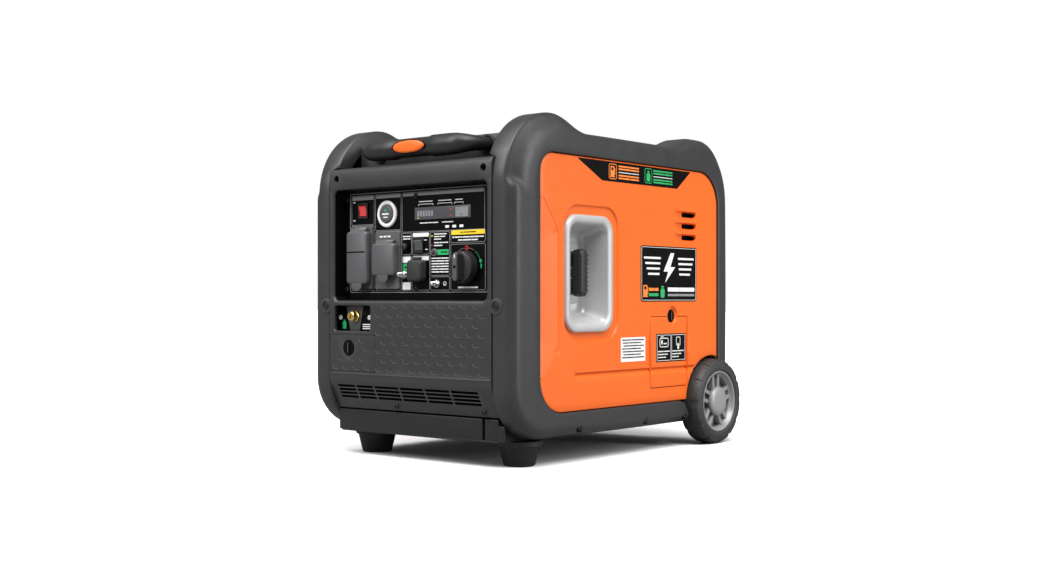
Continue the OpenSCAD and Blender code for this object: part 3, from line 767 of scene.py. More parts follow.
def recess_and_vents():
    (u0, v0), (u1, v1), _ = RECESS
    rings = []
    for grow, d, r in ((0, 3.5, 9), (-1.5, 12, 9), (-2, 24.5, 9), (2.5, 24.5, 11), (2.5, 5, 11)):
        loop = round_rect((u0 - grow, v0 - grow), (u1 + grow, v1 + grow), r, 8)
        rings.append([on_front(u, v, d) for u, v in loop])
    # The recess wall is charcoal plastic drawn in black: painted shade inside the recess.
    piece("recess_wall_painted_shade", loft(rings, loop=True), CASING, "charcoal_plastic", BLACK)
    # A black sheet behind the vent slots is painted shade for their dark insides.
    slope = ((7, 121), (19.7, 93), (21.2, 93), (8.5, 121))
    vent_shade = loft([[(x, d, z) for d, z in slope] for x in (VENT_RIBS[0] - 2, VENT_RIBS[-1] + 2)])
    piece("vent_painted_shade", vent_shade, CASING, "black_plastic", BLACK)


def access_cover():
    x0, x1, z0, z1 = ACCESS_LOW.x, ACCESS_HIGH.x, ACCESS_LOW.z, ACCESS_HIGH.z
    door = [(x0, z0), (x1, z0), (x1, z1), (x0, z1)]
    bore = circle(ACCESS_LATCH.x, ACCESS_LATCH.z, 13.4, 32)

    def leaf(u, v):
        p = np.column_stack((u, v))
        return round_over(distance(p, door), 0.5) + round_over(distance(p, bore), 1.2)

    shape = relief(door, leaf, skin(leaf, -3), on_front, [bore], edge_lines(door, 0.5, (0.5, 1.0)), 9)
    ridges = scale_ridges((-166, 143), (-78, 195), lambda x, z: z < 162 or x > -112)
    piece("access_cover_leaf", joined(shape, ridges), "access_cover", "charcoal_plastic", CHARCOAL, "access_cover")


# ---- screws and latches ----

PLATE_SCREW_X, PLATE_SCREW_Z = (-161, -2, 161), (274, 423)
RAIL_BOLTS, RAIL_BOLT_Z = (166.5, 348, 467), 57


def hex_screw(centre, r, axis, sign):
    """A button head with a six-sided socket; sign says which way it faces."""
    rim = unit_circle(24)
    socket = []
    for c, s in rim:
        off = (math.atan2(s, c) % (math.pi / 3)) - math.pi / 6
        reach = math.cos(math.pi / 6) / math.cos(off)
        socket.append((reach * c, reach * s))
    levels = [(rim, 1.0, 0), (rim, 1.0, 0.18), (rim, 0.9, 0.36), (rim, 0.66, 0.46), (socket, 0.5, 0.46),
              (socket, 0.48, 0.1)]
    place = on_side if axis == "X" else on_front
    shape = loft([[place(a * r * k, b * r * k, sign * h * r) for a, b in unit] for unit, k, h in levels])
    return moved(shape, *centre)


def screws():
    """Button heads on the front, the plate and the bottom rails, each in its well; the bottom rails' wells are black
    as painted shade.
    """
    beam_x, beam_z = BEAM_SCREW
    front = [(s * BOSS[0], 1.2, BOSS[1], 5) for s in SIDES] + [(s * beam_x, 12, beam_z, 4.5) for s in SIDES]
    front += [(x, 16.5, LOW_SCREW_Z, 4.6) for x in LOW_SCREW_X]
    front += [(x, 24.6, z, 4) for x in PLATE_SCREW_X for z in PLATE_SCREW_Z]
    heads = [hex_screw((x, d, z), r, "Y", -1) for x, d, z, r in front]
    heads += [hex_screw((s * (OUTSIDE - 1.4), d, RAIL_BOLT_Z), 5, "X", s) for s in SIDES for d in RAIL_BOLTS]
    piece("case_screw_heads", joined(*heads), CASING, "painted_steel", PAINTED, "case_screws")
    well = ring_prism(circle(*BOSS, 8.2, 32), circle(*BOSS, 6.2, 32), -1.3, 0.5, on_front)
    seam = ring_prism(circle(*BOSS, 13.3, 48), circle(*BOSS, 12.6, 48), -0.12, 0.8, on_front)
    piece("boss_rings", both(joined(well, seam)), CASING, "charcoal_plastic", TRIM, bevel=0.2)
    cup = ring_prism(circle(*BEAM_SCREW, 8, 28), circle(*BEAM_SCREW, 5.6, 28), 3, 14, on_front)
    piece("beam_screw_cups", both(cup), CASING, "charcoal_plastic", TRIM, bevel=0.4)
    # The rail bolts' cups are drawn black as painted shade in the recesses round the bolts.
    profile = [(0, -12), (8, -12), (8, -0.9), (7.2, -0.4), (6.4, -1.4), (0, -1.8)]
    bolt_shades = [lathe(profile, (OUTSIDE, d, RAIL_BOLT_Z), "X", 36) for d in RAIL_BOLTS]
    piece("rail_bolt_painted_shade", both(joined(*bolt_shades)), CASING, "black_plastic", BLACK, sharp=45)


def quarter_turn_latch(name, centre, r, axis, node):
    """A round key face with a raised bar and a pale slot in it; the slot is a grey strip that is a painted highlight
    on the slot's edge.
    """

    def stood(shape):
        points = [(u, -h, v) if axis == "Y" else (h, u, v) for u, v, h in shape[0]]
        return moved((points, shape[1]), *centre)

    face = loft([[(u, v, h) for u, v in circle(0, 0, k * r, 36)] for k, h in ((1, 0), (1, 2.0), (0.95, 2.5))])
    bar = block((-1.5, -0.72 * r, 1.8), (1.5, 0.72 * r, 3.9))
    piece(name, stood(joined(face, bar)), node, "black_plastic", BLACK, node, bevel=0.35)
    # The grey strip is a painted highlight: light caught on the slot's edge.
    slot = block((-0.5, -0.66 * r, 2.4), (0.5, 0.66 * r, 4.1))
    piece(f"{name}_line", stood(slot), node, "black_plastic", GREY, bevel=0.15)


def latches():
    front = cad("access_latch")[0].y + 2.5
    quarter_turn_latch("access_latch_key", (ACCESS_LATCH.x, front, ACCESS_LATCH.z), 13, "Y", "access_latch")
    quarter_turn_latch("service_latch_key", (PANEL - 5.4, LATCH.y, LATCH.z), 11, "X", "service_latch")


# ---- top, rear and base ----

TOP_X = 164.5
TOP_FRONT, TOP_REAR = 60, 600
TANK_CAP = middle("fuel_cap")
HANDLE_X, HANDLE_Z = 118, middle("handle_frame").z
EXHAUST = (100, 150)


def top_cover():
    """A lid with a sunk field of ribs round the tank cap, falling away at the rear, and its front wall."""
    top = cad("top_cover")[1].z
    cap = (TANK_CAP.x, TANK_CAP.y)
    outline = [(-TOP_X, TOP_FRONT), (TOP_X, TOP_FRONT), (TOP_X, TOP_REAR), (-TOP_X, TOP_REAR)]
    field = round_rect((-96, 120), (96, 480), 22, 8)

    def height(u, v):
        slope = 16 * ease((v - 536) / 40) + 32 * ease((v - 560) / 44)
        p = np.column_stack((u, v))
        sunk = np.where(inside(p, field), 3.0 * ease(distance(p, field) / 4), 0)
        return top - slope - sunk - round_over(v - TOP_FRONT, 6)

    lines = closed(inset(field, s) for s in (0, 1.3, 2.7, 4))
    lines += [[(-TOP_X, TOP_FRONT + s), (TOP_X, TOP_FRONT + s)] for s in (0.7, 2.5, 6)]
    shape = relief(outline, height, skin(height, 3), on_top, [circle(*cap, 34, 40)], lines, 11)
    wall = [(-TOP_X, BEAM_TOP), (TOP_X, BEAM_TOP), (TOP_X, top - 4), (-TOP_X, top - 4)]
    legs = [circle(s * HANDLE_X, HANDLE_Z, 11.8, 28) for s in SIDES]
    flat = lambda u, v: np.full(len(u), TOP_FRONT + 0.3)
    front = relief(wall, flat, skin(flat, -2.7), on_front, legs, [], 14)
    piece("top_cover_shell", joined(shape, front), CASING, "charcoal_plastic", CHARCOAL, "top_cover")

    ribs = [block((x - 2, d, top - 3.2), (x + 2, d + 110, top - 0.8)) for d in (140, 350) for x in range(-72, 73, 18)]
    collar = ring_prism(circle(*cap, 38, 48), circle(*cap, 31.5, 48), top - 7, top + 1.2, on_top)
    leg = (HANDLE_X, HANDLE_Z)
    sleeve = ring_prism(circle(*leg, 16, 32), circle(*leg, 11.9, 32), TOP_FRONT - 2.5, TOP_FRONT + 1, on_front)
    piece("top_cover_trim", joined(*ribs, collar, both(sleeve)), CASING, "charcoal_plastic", TRIM, bevel=0.7)


def rear_cover():
    """A flat cover with a sunk field of louvres and a hole for the exhaust."""
    low, high = cad("rear_cover")
    outline = round_rect((low.x, low.z), (high.x, high.z), 6, 5)
    louvres = [round_rect((x, z), (x + 60, z + 7), 2.5, 3) for z in range(230, 391, 16) for x in (-130, -65, 5, 70)]
    field = round_rect((-142, 218), (142, 409), 12, 6)

    def face(u, v):
        p = np.column_stack((u, v))
        sunk = np.where(inside(p, field), 2 * ease(distance(p, field) / 4), 0)
        return high.y - sunk - round_over(distance(p, outline), 1.6)

    lines = edge_lines(outline, 1.6, (0.4, 1.0)) + closed(inset(field, s) for s in (0, 2, 4))
    shape = relief(outline, face, skin(face, 3), on_front, [circle(*EXHAUST, 22, 36), *louvres], lines, 11)
    rim = ring_prism(circle(*EXHAUST, 26, 40), circle(*EXHAUST, 21.5, 40), 597.5, 602, on_front)
    piece("rear_cover_shell", joined(shape, rim), CASING, "charcoal_plastic", CHARCOAL, "rear_cover")


def base():
    """A bent steel tray with a front rail in two parts, and the two rubber feet."""
    rear_wall = cad("rear_cover")[0].z + 6
    beams = [block((-172, 22, 40), (172, 590, 43.5)), block((-168, 526, 43.5), (168, 529, rear_wall)),
             block((-177, 22, 42), (140, 26, 76)), block((145, 22, 42), (172, 26, 76)),
             block((171, 22, 42), (184, 26, 66.5))]
    beams += [both(block((168, 26, 42), (172, 590, 70))), both(block((160, 530, 42), (168, 586, 100)))]
    piece("base_frame_beams", joined(*beams), CASING, "painted_steel", PAINTED, "base_frame", bevel=1.3)
    top = cad("front_feet")[1].z
    foot = [(0, 0), (22.5, 0), (24, 0.6), (25, 2.5), (31.5, 29), (32.5, 30.4), (35, 31), (36, 32.2),
            (36, top - 1), (35, top), (0, top)]
    feet = [lathe(foot, (s * 157, 90, 0), "Z", 56) for s in SIDES]
    piece("front_feet_rubber", joined(*feet), CASING, "rubber", RUBBER, "front_feet")


# ---- wheels ----

def wheels():
    """Tyres with staggered lugs on rims with five twin spokes. a and h are radius and height from the hub."""
    low, high = cad("tyre_right")
    r, wide = high.z - WHEEL.z, high.x - low.x
    hub = (low.x, WHEEL.y, WHEEL.z)
    deep = wide - 8

    def on_hub(u, v, h):
        return (hub[0] + h, hub[1] + u, hub[2] + v)

    carcass = [(54.5, 2), (56, 0.8), (65, 0.4), (70, 3), (r - 2.4, 9), (r - 1.2, 14), (r - 1.0, wide / 2),
               (r - 1.2, wide - 14), (r - 2.4, wide - 9), (70.5, wide - 3.2), (68.5, wide - 1.6),
               (66.5, wide - 1.3), (65.5, wide - 0.6), (58, wide - 0.3), (56, wide - 0.8), (54.5, wide - 2)]
    lug = [(67.5, 0.9), (72.3, 3.0), (r - 0.6, 9.6), (r, 16), (r - 3, 16), (66, 3)]
    parts = [lathe(carcass, hub, "X", 120)]
    for i in range(12):
        for section, shift in ((lug, 0), ([(a, wide - h) for a, h in lug], 15)):
            aim = math.radians(i * 30 + shift)
            parts.append(loft([[on_hub(a * math.cos(t), a * math.sin(t), h) for a, h in section]
                               for t in np.linspace(aim - 0.2, aim + 0.2, 6)]))
    tyre = joined(*parts)

    flange = [(46.5, 7), (54.4, 6), (54.4, wide - 3.5), (53.4, wide - 2.2), (51.6, wide - 2.2), (50.2, wide - 4),
              (49, wide - 9), (46.5, wide - 11)]
    boss = [(0, 8), (20, 8), (20, deep - 2), (25, deep - 2), (26, deep - 0.6), (25.5, wide - 4), (23, wide - 2),
            (18, wide - 0.9), (10, wide - 0.2), (0, wide)]
    parts = [lathe(flange, hub, "X", 96), lathe(boss, hub, "X", 72)]
    for i in range(5):
        for v in (-7.2, 7.2):
            arm = [(16, v - 3), (49, v * 1.25 - 3.4), (49, v * 1.25 + 3.4), (16, v + 3)]
            parts.append(turned(prism(arm, deep - 11, deep - 1.5, on_hub), "X", i * 72 + 18, hub))
        web = [(18, -6), (48, -8), (48, 8), (18, 6)]
        parts.append(turned(prism(web, deep - 13, deep - 8, on_hub), "X", i * 72 + 18, hub))
    rim = joined(*parts)
    disc = lathe([(0, 16), (48.5, 16), (48.5, 19), (44, 20.5), (26, 22), (0, 22)], hub, "X", 72)
    for side, flip in (("right", lambda shape: shape), ("left", mirrored)):
        body = f"wheel_{side}"
        piece(f"tyre_{side}_rubber", flip(tyre), body, "tyre", TYRE, f"tyre_{side}", bevel=0.5, sharp=40)
        piece(f"rim_{side}_cast", flip(rim), body, "silver_plastic", RIM, f"rim_{side}", bevel=0.6, sharp=40)
        piece(f"rim_{side}_back", flip(disc), body, "silver_plastic", RIM)


# ---- handle ----

def handle():
    """A tube bent into a U that swells into a padded bar, a little thinner where its button sits."""
    low, high = cad("handle_frame")
    front = cad("handle_button")[0].y
    half_u, z = cad("handle_button")[1].x, middle("handle_button").z
    half_v = cad("handle_button")[1].z - z
    elbow, thin, waist = 30, 11, 1.8
    thick = (high.z - low.z) / 2
    bar_d = low.y + thick
    half = [(HANDLE_X, d, z) for d in (high.y, 200, 60)]
    half += [(u, d, z) for u, d in arc(HANDLE_X - elbow, bar_d + elbow, elbow, -elbow, 0, 90, 9)]
    half += [(x, bar_d, z) for x in (84, 78, 60, half_u + 6, half_u + 1.5)]
    radii = [thin] * 3 + [thin + (thick - thin) * float(ease(i / 11)) for i in range(10)]
    radii += [thick - 0.3] + [thick] * 3 + [thick - waist]
    path = half + [(-x, d, h) for x, d, h in half[::-1]]
    piece("handle_bar", sweep(path, radii + radii[::-1], 36), "handle", "black_plastic", TRIM, "handle_frame")

    rings = []
    for k, d in ((1.0, 12), (1.0, 5), (0.985, 3), (0.93, 1.4), (0.8, 0.45), (0.5, 0.05)):
        rings.append([on_front(half_u * k * math.copysign(abs(c) ** 0.82, c), z + half_v * k * s, front + d)
                      for c, s in unit_circle(56)])
    piece("handle_release", loft(rings), "handle_button", "orange_plastic", ORANGE, "handle_button", sharp=60)
    inner = [(half_u * c, z + half_v * s) for c, s in unit_circle(56)]
    seat = [(u * 1.05, z + (v - z) * 1.1) for u, v in inner]
    seat = ring_prism(seat, inner, front + 1.8, front + 5, on_front)
    piece("handle_release_seat", seat, "handle", "black_plastic", BLACK, bevel=0.5)


# ---- recoil starter ----

GRIP = (195, 300)
TRAY_RINGS = [((143, 222), (242, 375), 17, 166), ((139.5, 216), (246, 381), 19, 170),
              ((139.5, 216), (246, 381), 19, 212), ((130, 206), (254.5, 391), 28, 212.6),
              ((130, 206), (254.5, 391), 28, 216.6), ((130.8, 206.8), (253.7, 390.2), 27.4, 218),
              ((132.5, 208.5), (252, 388.5), 26, 218.9), ((137.5, 213.5), (246.5, 383.5), 21.4, 219),
              ((140.2, 216.4), (243.6, 380.4), 19.6, 218.2), ((142, 219), (241, 378), 18, 216.8),
              ((144, 222), (239, 375), 17, 205), ((149, 231), (234, 366), 16, 178),
              ((151, 234), (232, 363), 15, 173.5), ((156, 239), (227, 358), 12, 171)]


def recoil_tray():
    """A drawn tray: up its back, over the rim and down to the floor, with a low step there."""
    shell = loft([[on_side(u, v, x) for u, v in round_rect(low, high, r, 9)]
                  for low, high, r, x in TRAY_RINGS])
    rib = round_rect((166, 250), (224, 350), 14, 6)
    step = loft([[on_side(u, v, x) for u, v in inset(rib, s)] for s, x in ((0, 170.5), (2, 173), (4, 173.4))])
    piece("recoil_tray_shell", joined(shell, step), CASING, "silver_plastic", SILVER, "recoil_tray", sharp=50)


def recoil_grip():
    """A ribbed grip on two round lobes and the rope's neck."""
    low, high = cad("recoil_grip")
    d, z = GRIP
    span = (high.z - low.z) / 2
    levels = [(0.72, 0.90, 184), (0.93, 0.98, 186.5), (1, 1, 190), (1, 1, 199), (0.94, 0.985, 202.6),
              (0.75, 0.94, 204.4), (0.5, 0.9, 205)]
    loop = around(d, z, 10, span, 9, 8)
    body = loft([[on_side(d + (u - d) * a, z + (v - z) * b, x) for u, v in loop] for a, b, x in levels])
    neck = lathe([(0, 172), (6.5, 172), (7, 173), (7, 178), (9, 182), (9, 187), (0, 187)], (0, d, z), "X", 32)
    lobe = [(0, 173.9), (12, 173.9), (13, 175.2), (13, 184), (11, 186), (0, 187)]
    lobes = [lathe(lobe, (0, d - 1, z + s * 22), "X", 32) for s in SIDES]
    shape = joined(body, neck, *lobes)
    piece("recoil_grip_body", shape, "recoil_grip", "black_plastic", TRIM, "recoil_grip", sharp=40)
    ridges = [block((191, d - 8.5, z + k * 7 - 1.6), (204.8, d + 10.6, z + k * 7 + 1.6))
              for k in range(-4, 5)]
    piece("recoil_grip_ridges", joined(*ridges), "recoil_grip", "black_plastic", CHARCOAL, bevel=1.0)


def recoil_rope():
    """The rope from the reel, round a bend and out to the grip."""
    d, z = GRIP
    lead_x, turn, rope_r, eye_x, out_x = 137, 21, 2.5, 158, 14.5
    path = [(lead_x, back, z) for back in (330, 290, 250, d + turn)]
    path += [(lead_x + turn - turn * math.cos(a), d + turn - turn * math.sin(a), z)
             for a in np.radians(np.linspace(11, 90, 8))]
    path += [(eye_x + out_x * t, d, z) for t in np.linspace(0.05, 1, 28)]
    shape = sweep(path, [rope_r] * len(path), 14)
    rope = piece("recoil_rope_lead", shape, CASING, "rope", ROPE, "recoil_rope")
    rope.parent = None
    rope.matrix_world = Matrix.Identity(4)
    del rope["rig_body"]
    y, z = FRONT + d * MM, z * MM
    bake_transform(rope)


# ---- control panel ----

PLATE = cad("display_window")[1].y
PRINT, PRINT_SUNK = 0.25, 0.2
ROCKER_TILT = math.radians(10)
POWER_AT, ECO_AT = (-122, 403), (4, 344)
CELLS = [(-150.5, 380, -97, 428.5), (-94.5, 369.5, -35.5, 428.5), (-33.5, 365, 143, 428.5), (-150.5, 272, -97, 379),
         (-93, 272, -34.5, 368.5), (-34, 329, -12, 364), (-11, 329, 27.5, 364), (-34, 272, -12.5, 327.5),
         (-11, 272, 27.5, 327.5), (29, 295, 70.5, 364), (29, 272, 70.5, 293.5), (72.5, 345.5, 144.5, 366),
         (72.5, 272, 144.5, 343.5)]
HEADERS = [(-148.5, 421, -99, 427), (-92.5, 422, -37.5, 427), (-31.5, 422.5, 141, 427)]
WHITE_FIELDS = [(-9, 357, 25.5, 363), (-32, 316.5, -14.5, 326), (-8.5, 319.5, 25.5, 326), (-32, 273.5, -14.5, 285)]
WORD_LINES = [
    (-146.5, 417, -141.5, 1.6, [1]), (-146.5, 387, -141.5, 1.6, [1]), (14, 351, 21, 1.4, [1]), (18, 336, 23, 1.4, [1]),
    (-32, 357.5, -14, 1.7, [2, 3]), (-31, 353.5, -15, 1.7, [3, 2]), (37, 359.5, 64, 1.6, [4]),
    (37, 355.5, 61, 1.6, [3, 3]), (37, 351.5, 52, 1.6, [3]), (37, 346, 67, 1.6, [3, 2, 3]), (37, 341.5, 55, 1.6, [3]),
    (76, 353.2, 141, 2.0, [1, 3, 1, 4, 2, 3, 2]), (88, 348.6, 129, 2.0, [2, 4, 3]), (88, 275, 129, 2.6, [2, 4]),
    (4, 412, 34, 1.4, [3]), (46, 412, 74, 1.4, [2, 1]), (82, 412, 98, 1.4, [2]), (6, 378, 46, 1.4, [3, 1, 2]),
    (54, 378, 78, 1.4, [3])]
NOTE_WORDS = [[3, 2, 4], [2, 5, 2], [4, 3, 2], [2, 2, 4], [3, 4], [4, 2, 2]]


class Face:
    """A face that thin prints lie on: a place function, its level, and +1 or -1 for the way it looks."""

    def __init__(self, place, level, out):
        self.place, self.level, self.out = place, level, out

    def slab(self, outline):
        return prism(outline, self.level + self.out * PRINT, self.level - self.out * PRINT_SUNK, self.place)

    def band(self, outer, inner):
        bottom, top = self.level - self.out * PRINT_SUNK, self.level + self.out * PRINT
        return ring_prism(outer, inner, bottom, top, self.place)

    def bar(self, u0, v0, u1, v1):
        r = min(0.8, (u1 - u0) * 0.2, (v1 - v0) * 0.3)
        return self.slab(round_rect((u0, v0), (u1, v1), r, 3))

    def frame(self, u0, v0, u1, v1, r=3, width=0.7):
        outer = round_rect((u0, v0), (u1, v1), r, 5)
        inner = round_rect((u0 + width, v0 + width), (u1 - width, v1 - width), max(r - width, 0.2), 5)
        return self.band(outer, inner)

    def dashes(self, u0, v0, u1, high, words):
        """A printed line shown as plain dashes whose lengths are the words' shares of the line."""
        gap = 0.9
        share = (u1 - u0 - gap * (len(words) - 1)) / sum(words)
        shapes, u = [], u0
        for word in words:
            shapes.append(self.bar(u, v0, u + word * share, v0 + high))
            u += word * share + gap
        return shapes


PLATE_FACE = Face(on_front, PLATE, -1)


def prints(name, shapes, material, slot, body=CASING):
    piece(name, joined(*shapes), body, slot, material, sharp=25)


def scale_band(centre, start, end, r=29.5):
    """A thin printed arc round centre."""
    loops = [arc(*centre, r + a, r + a, start, end, 14) + arc(*centre, r + b, r + b, end, start, 14)
             for a, b in ((0.7, -0.1), (0.5, 0.1))]
    return PLATE_FACE.band(*loops)


def control_prints():
    """Cell borders, plain bars, dashes and the fuel knob's scale, by colour."""
    face = PLATE_FACE
    borders = [face.frame(*cell) for cell in CELLS] + [face.frame(-154, 268.6, 149, 432, 4, 1.0)]
    borders += [face.frame(60.5, 380.2, 62, 380.9, 0.3, 0.3)] + [face.bar(*header) for header in HEADERS]
    prints("panel_borders", borders, PALE, "pale_plastic")
    white = [face.bar(*field) for field in WHITE_FIELDS]
    for line in WORD_LINES:
        white += face.dashes(*line)
    for k, words in enumerate(NOTE_WORDS):
        white += face.dashes(31.5, 321.5 - k * 4.3, 68, 1.7, words)
    for low, high in ((3, 35), (45, 75), (80, 99)):
        white += [face.bar(low, 408, high, 408.8), face.bar(low, 406, low + 0.8, 408),
                  face.bar(high - 0.8, 406, high, 408)]
    white += [face.bar(61 + k * 15, 369.5, 69 + k * 15, 373.5) for k in range(3)]
    prints("panel_words", white, WHITE, "white_plastic")
    prints("panel_caution_band", [face.bar(74, 358, 143, 365), face.bar(31.5, 356.5, 33.8, 358.8)], YELLOW,
           "white_plastic")
    prints("panel_caution_words", face.dashes(92, 360.6, 125, 1.8, [1, 4]), BLACK, "black_plastic")

    x, _, z = middle("fuel_knob")
    scale_r, tag_turn = 29.8, math.radians(18)
    tag = circle(x + scale_r * math.cos(tag_turn), z + scale_r * math.sin(tag_turn), 2.6, 20)
    green = [face.bar(43, 327.5, 68, 336), face.bar(-31, 303, -15, 315), scale_band((x, z), 22, 52), face.slab(tag),
             face.bar(x + 28, z - 2, x + 31, z + 5)]
    prints("panel_green_prints", green, GREEN, "white_plastic")
    green_words = face.dashes(52, 330.6, 66, 2.2, [2, 3]) + face.dashes(-28, 307.5, -18, 2.4, [1])
    prints("panel_green_words", green_words, WHITE, "white_plastic")
    prints("panel_scale", [scale_band((x, z), 60, 86), scale_band((x, z), 94, 150)], PALE, "pale_plastic")
    off_ring = face.band(circle(x, z + scale_r, 3.4, 24), circle(x, z + scale_r, 2.2, 24))
    prints("panel_red_marks", [off_ring, face.bar(31.5, 341.8, 33.6, 344)], RED, "red_plastic")


def fuel_knob():
    """A round dial with a lever across it, the lever's pale face, its screw and its mark. The lever's black sides are
    painted shade and its pale grey front is painted light.
    """
    low, high = cad("fuel_knob")
    c = middle("fuel_knob")
    centre = (c.x, 0, c.z)
    dial = low.y + 11
    body = [(0, high.y), (4, high.y), (4, PLATE - 1.4), (24, PLATE - 1.4), (25, PLATE - 2.6), (24.6, dial + 3.5),
            (23.4, dial + 0.8), (21.5, dial), (0, dial)]
    lever = ((6, 23, 5.9, dial + 1), (6, 23, 5.9, low.y + 3), (5.2, 22.2, 5.1, low.y + 0.9),
             (3.6, 20.6, 3.5, low.y))
    rings = [[on_front(u, v, d) for u, v in around(c.x, c.z, half_u, half_v, r, 8)]
             for half_u, half_v, r, d in lever]
    node = "fuel_knob"
    piece("fuel_knob_dial", lathe(body, centre, "Y", 72), node, "black_plastic", TRIM, node, sharp=40)
    # The lever's black sides are painted shade; the grey plate on its front below is its painted lit face.
    piece("fuel_knob_lever", loft(rings), node, "black_plastic", TRIM, sharp=50)
    face = prism(around(c.x, c.z, 4.2, 21, 4.1, 6), low.y - 0.25, low.y + 0.6, on_front)
    piece("fuel_knob_painted_lit_face", face, node, "grey_plastic", GREY, bevel=0.15)
    dot = lathe([(0, low.y - 0.5), (2.6, low.y - 0.5), (2.8, low.y + 0.6), (0, low.y + 0.6)], centre, "Y", 24)
    piece("fuel_knob_screw", dot, node, "black_plastic", BLACK)
    mark = Face(on_front, low.y - 0.2, -1).bar(c.x - 0.8, c.z + 13, c.x + 0.8, c.z + 19)
    piece("fuel_knob_mark", mark, node, "white_plastic", WHITE)


def switches():
    """Two rocker caps with a shallow V face and a round back, which turn about their middles."""
    bezels = []
    for at in (POWER_AT, ECO_AT):
        outer, inner = around(*at, 11, 12.5, 2.5, 5), around(*at, 8.4, 9.9, 1, 5)
        bezels.append(ring_prism(outer, inner, PLATE - 2.6, PLATE + 2, on_front))
    piece("switch_bezels", joined(*bezels), CASING, "black_plastic", TRIM, bevel=0.4)
    for node, material, slot in (("power_rocker", RED, "red_plastic"), ("eco_rocker", GREY, "grey_plastic")):
        low, high = cad(node)
        v, r = (low.z + high.z) / 2, (high.z - low.z) / 2 - 0.1
        start = math.asin(4.4 / r)
        profile = [(-3.1, 0)] + [(-r * math.sin(t), r * math.cos(t))
                                 for t in np.linspace(start, -math.pi - start, 40)]
        c, s = math.cos(ROCKER_TILT), math.sin(ROCKER_TILT)
        side = [(PLATE + 1 + d * c - z * s, v + z * c + d * s) for d, z in profile]
        shape = loft([[(x, d, z) for d, z in side] for x in (low.x, high.x)])
        piece(f"{node}_cap", shape, node, slot, material, node, bevel=0.4)


def start_button():
    x, _, z = middle("start_ring")
    front, face = cad("start_ring")[0].y, cad("start_button")[0].y
    ring = [(15, PLATE), (21.2, PLATE), (21.8, PLATE - 1), (21.6, front + 1), (20.4, front), (16.4, front),
            (15, front + 1.4)]
    ring = lathe(ring, (x, 0, z), "Y", 72)
    piece("start_ring_bezel", ring, CASING, "white_plastic", WHITE, "start_ring", sharp=50)
    cap = [(0, PLATE + 8), (14.3, PLATE + 8), (14.3, face + 1.2), (13.6, face + 0.3), (12, face), (0, face + 0.3)]
    cap = lathe(cap, (x, 0, z), "Y", 64)
    piece("start_button_cap", cap, "start_button", "grey_plastic", GREY, "start_button", sharp=50)
    lamp = prism(arc(x, z + 4, 3.2, 3.6, 0, 180, 12), face - 0.1, face + 0.8, on_front)
    prints("start_button_lamp", [lamp], GREEN, "white_plastic", "start_button")
    words = Face(on_front, face + 0.2, -1).dashes(x - 7.5, z - 1.6, x + 7.5, 2.6, [1])
    words += Face(on_front, face + 0.25, -1).dashes(x - 5, z - 6.6, x + 5, 2.0, [1])
    prints("start_button_print", words, WHITE, "white_plastic", "start_button")


def small_buttons():
    for node, r in (("reset_button", 5), ("test_button", 3.5)):
        c = middle(node)
        low, high = cad(node)
        knob = [(0, high.y), (r, high.y), (r, low.y + 1), (r * 0.8, low.y + 0.2), (0, low.y)]
        knob = lathe(knob, (c.x, 0, c.z), "Y", 32)
        piece(f"{node}_cap", knob, node, "black_plastic", TRIM, node, sharp=50)
        collar = [(r + 0.4, 1), (r + 2.8, 1), (r + 2.8, -1.6), (r + 2, -2.6), (r + 0.4, -2.6)]
        collar = lathe(collar, (c.x, PLATE, c.z), "Y", 32)
        piece(f"{node}_collar", collar, CASING, "grey_plastic", GREY)


def socket_bed(name, node, low, high, header):
    """The moulded bed behind a lid, with a printed header above."""
    (u0, v0), (u1, v1) = low, high
    bed = loft([[on_front(u, v, PLATE + d) for u, v in round_rect((u0 - g, v0 - g), (u1 + g, v1 + g), 3, 4)]
                for g, d in ((0, 1), (0, -3.2), (-0.8, -4))])
    piece(name, bed, CASING, "grey_plastic", GREY, node)
    face = Face(on_front, PLATE - 4, -1)
    words = [face.bar(u0 + 11 + k * 9, header, u0 + 18 + k * 9, header + 2.6) for k in range(3)]
    prints(f"{name}_print", words, WHITE, "white_plastic")


def spring_lid(node, centre, half_w, half_h, band):
    """A rounded lid on a barrel hinge, with a finger tab below."""
    low, high = cad(node)
    u, v = centre
    name = f"{node}_cover"
    levels = [(0, high.y), (0, low.y + 3), (-0.7, low.y + 1.1), (-2.4, low.y)]
    lid = loft([[on_front(a, b, d) for a, b in around(u, v, half_w + grow, half_h + grow, 6, 8)]
                for grow, d in levels])
    tab_r, neck, tab_v = 11, 12, v - half_h - 4
    tab = [(u - neck, tab_v + 12)] + arc(u, tab_v, tab_r, 8, 180, 360, 12) + [(u + neck, tab_v + 12)]
    barrel = [(0, 6 - half_w), (2.6, 6 - half_w), (3, 6.6 - half_w), (3, half_w - 6.6), (2.6, half_w - 6),
              (0, half_w - 6)]
    parts = [lid, prism(tab, low.y + 0.6, low.y + 3.4, on_front), lathe(barrel, (u, 17, v + half_h + 3), "X", 24),
             block((u - half_w + 8, 12, v + half_h - 2), (u + half_w - 8, 17, v + half_h + 3))]
    piece(name, joined(*parts), node, "grey_plastic", GREY, node, bevel=0.5, sharp=45)
    if band:
        line = block((u - half_w + 2, low.y - 0.15, v + 8), (u + half_w - 4, low.y + 0.5, v + 10.2))
        piece(f"{name}_line", line, node, "black_plastic", BLACK)


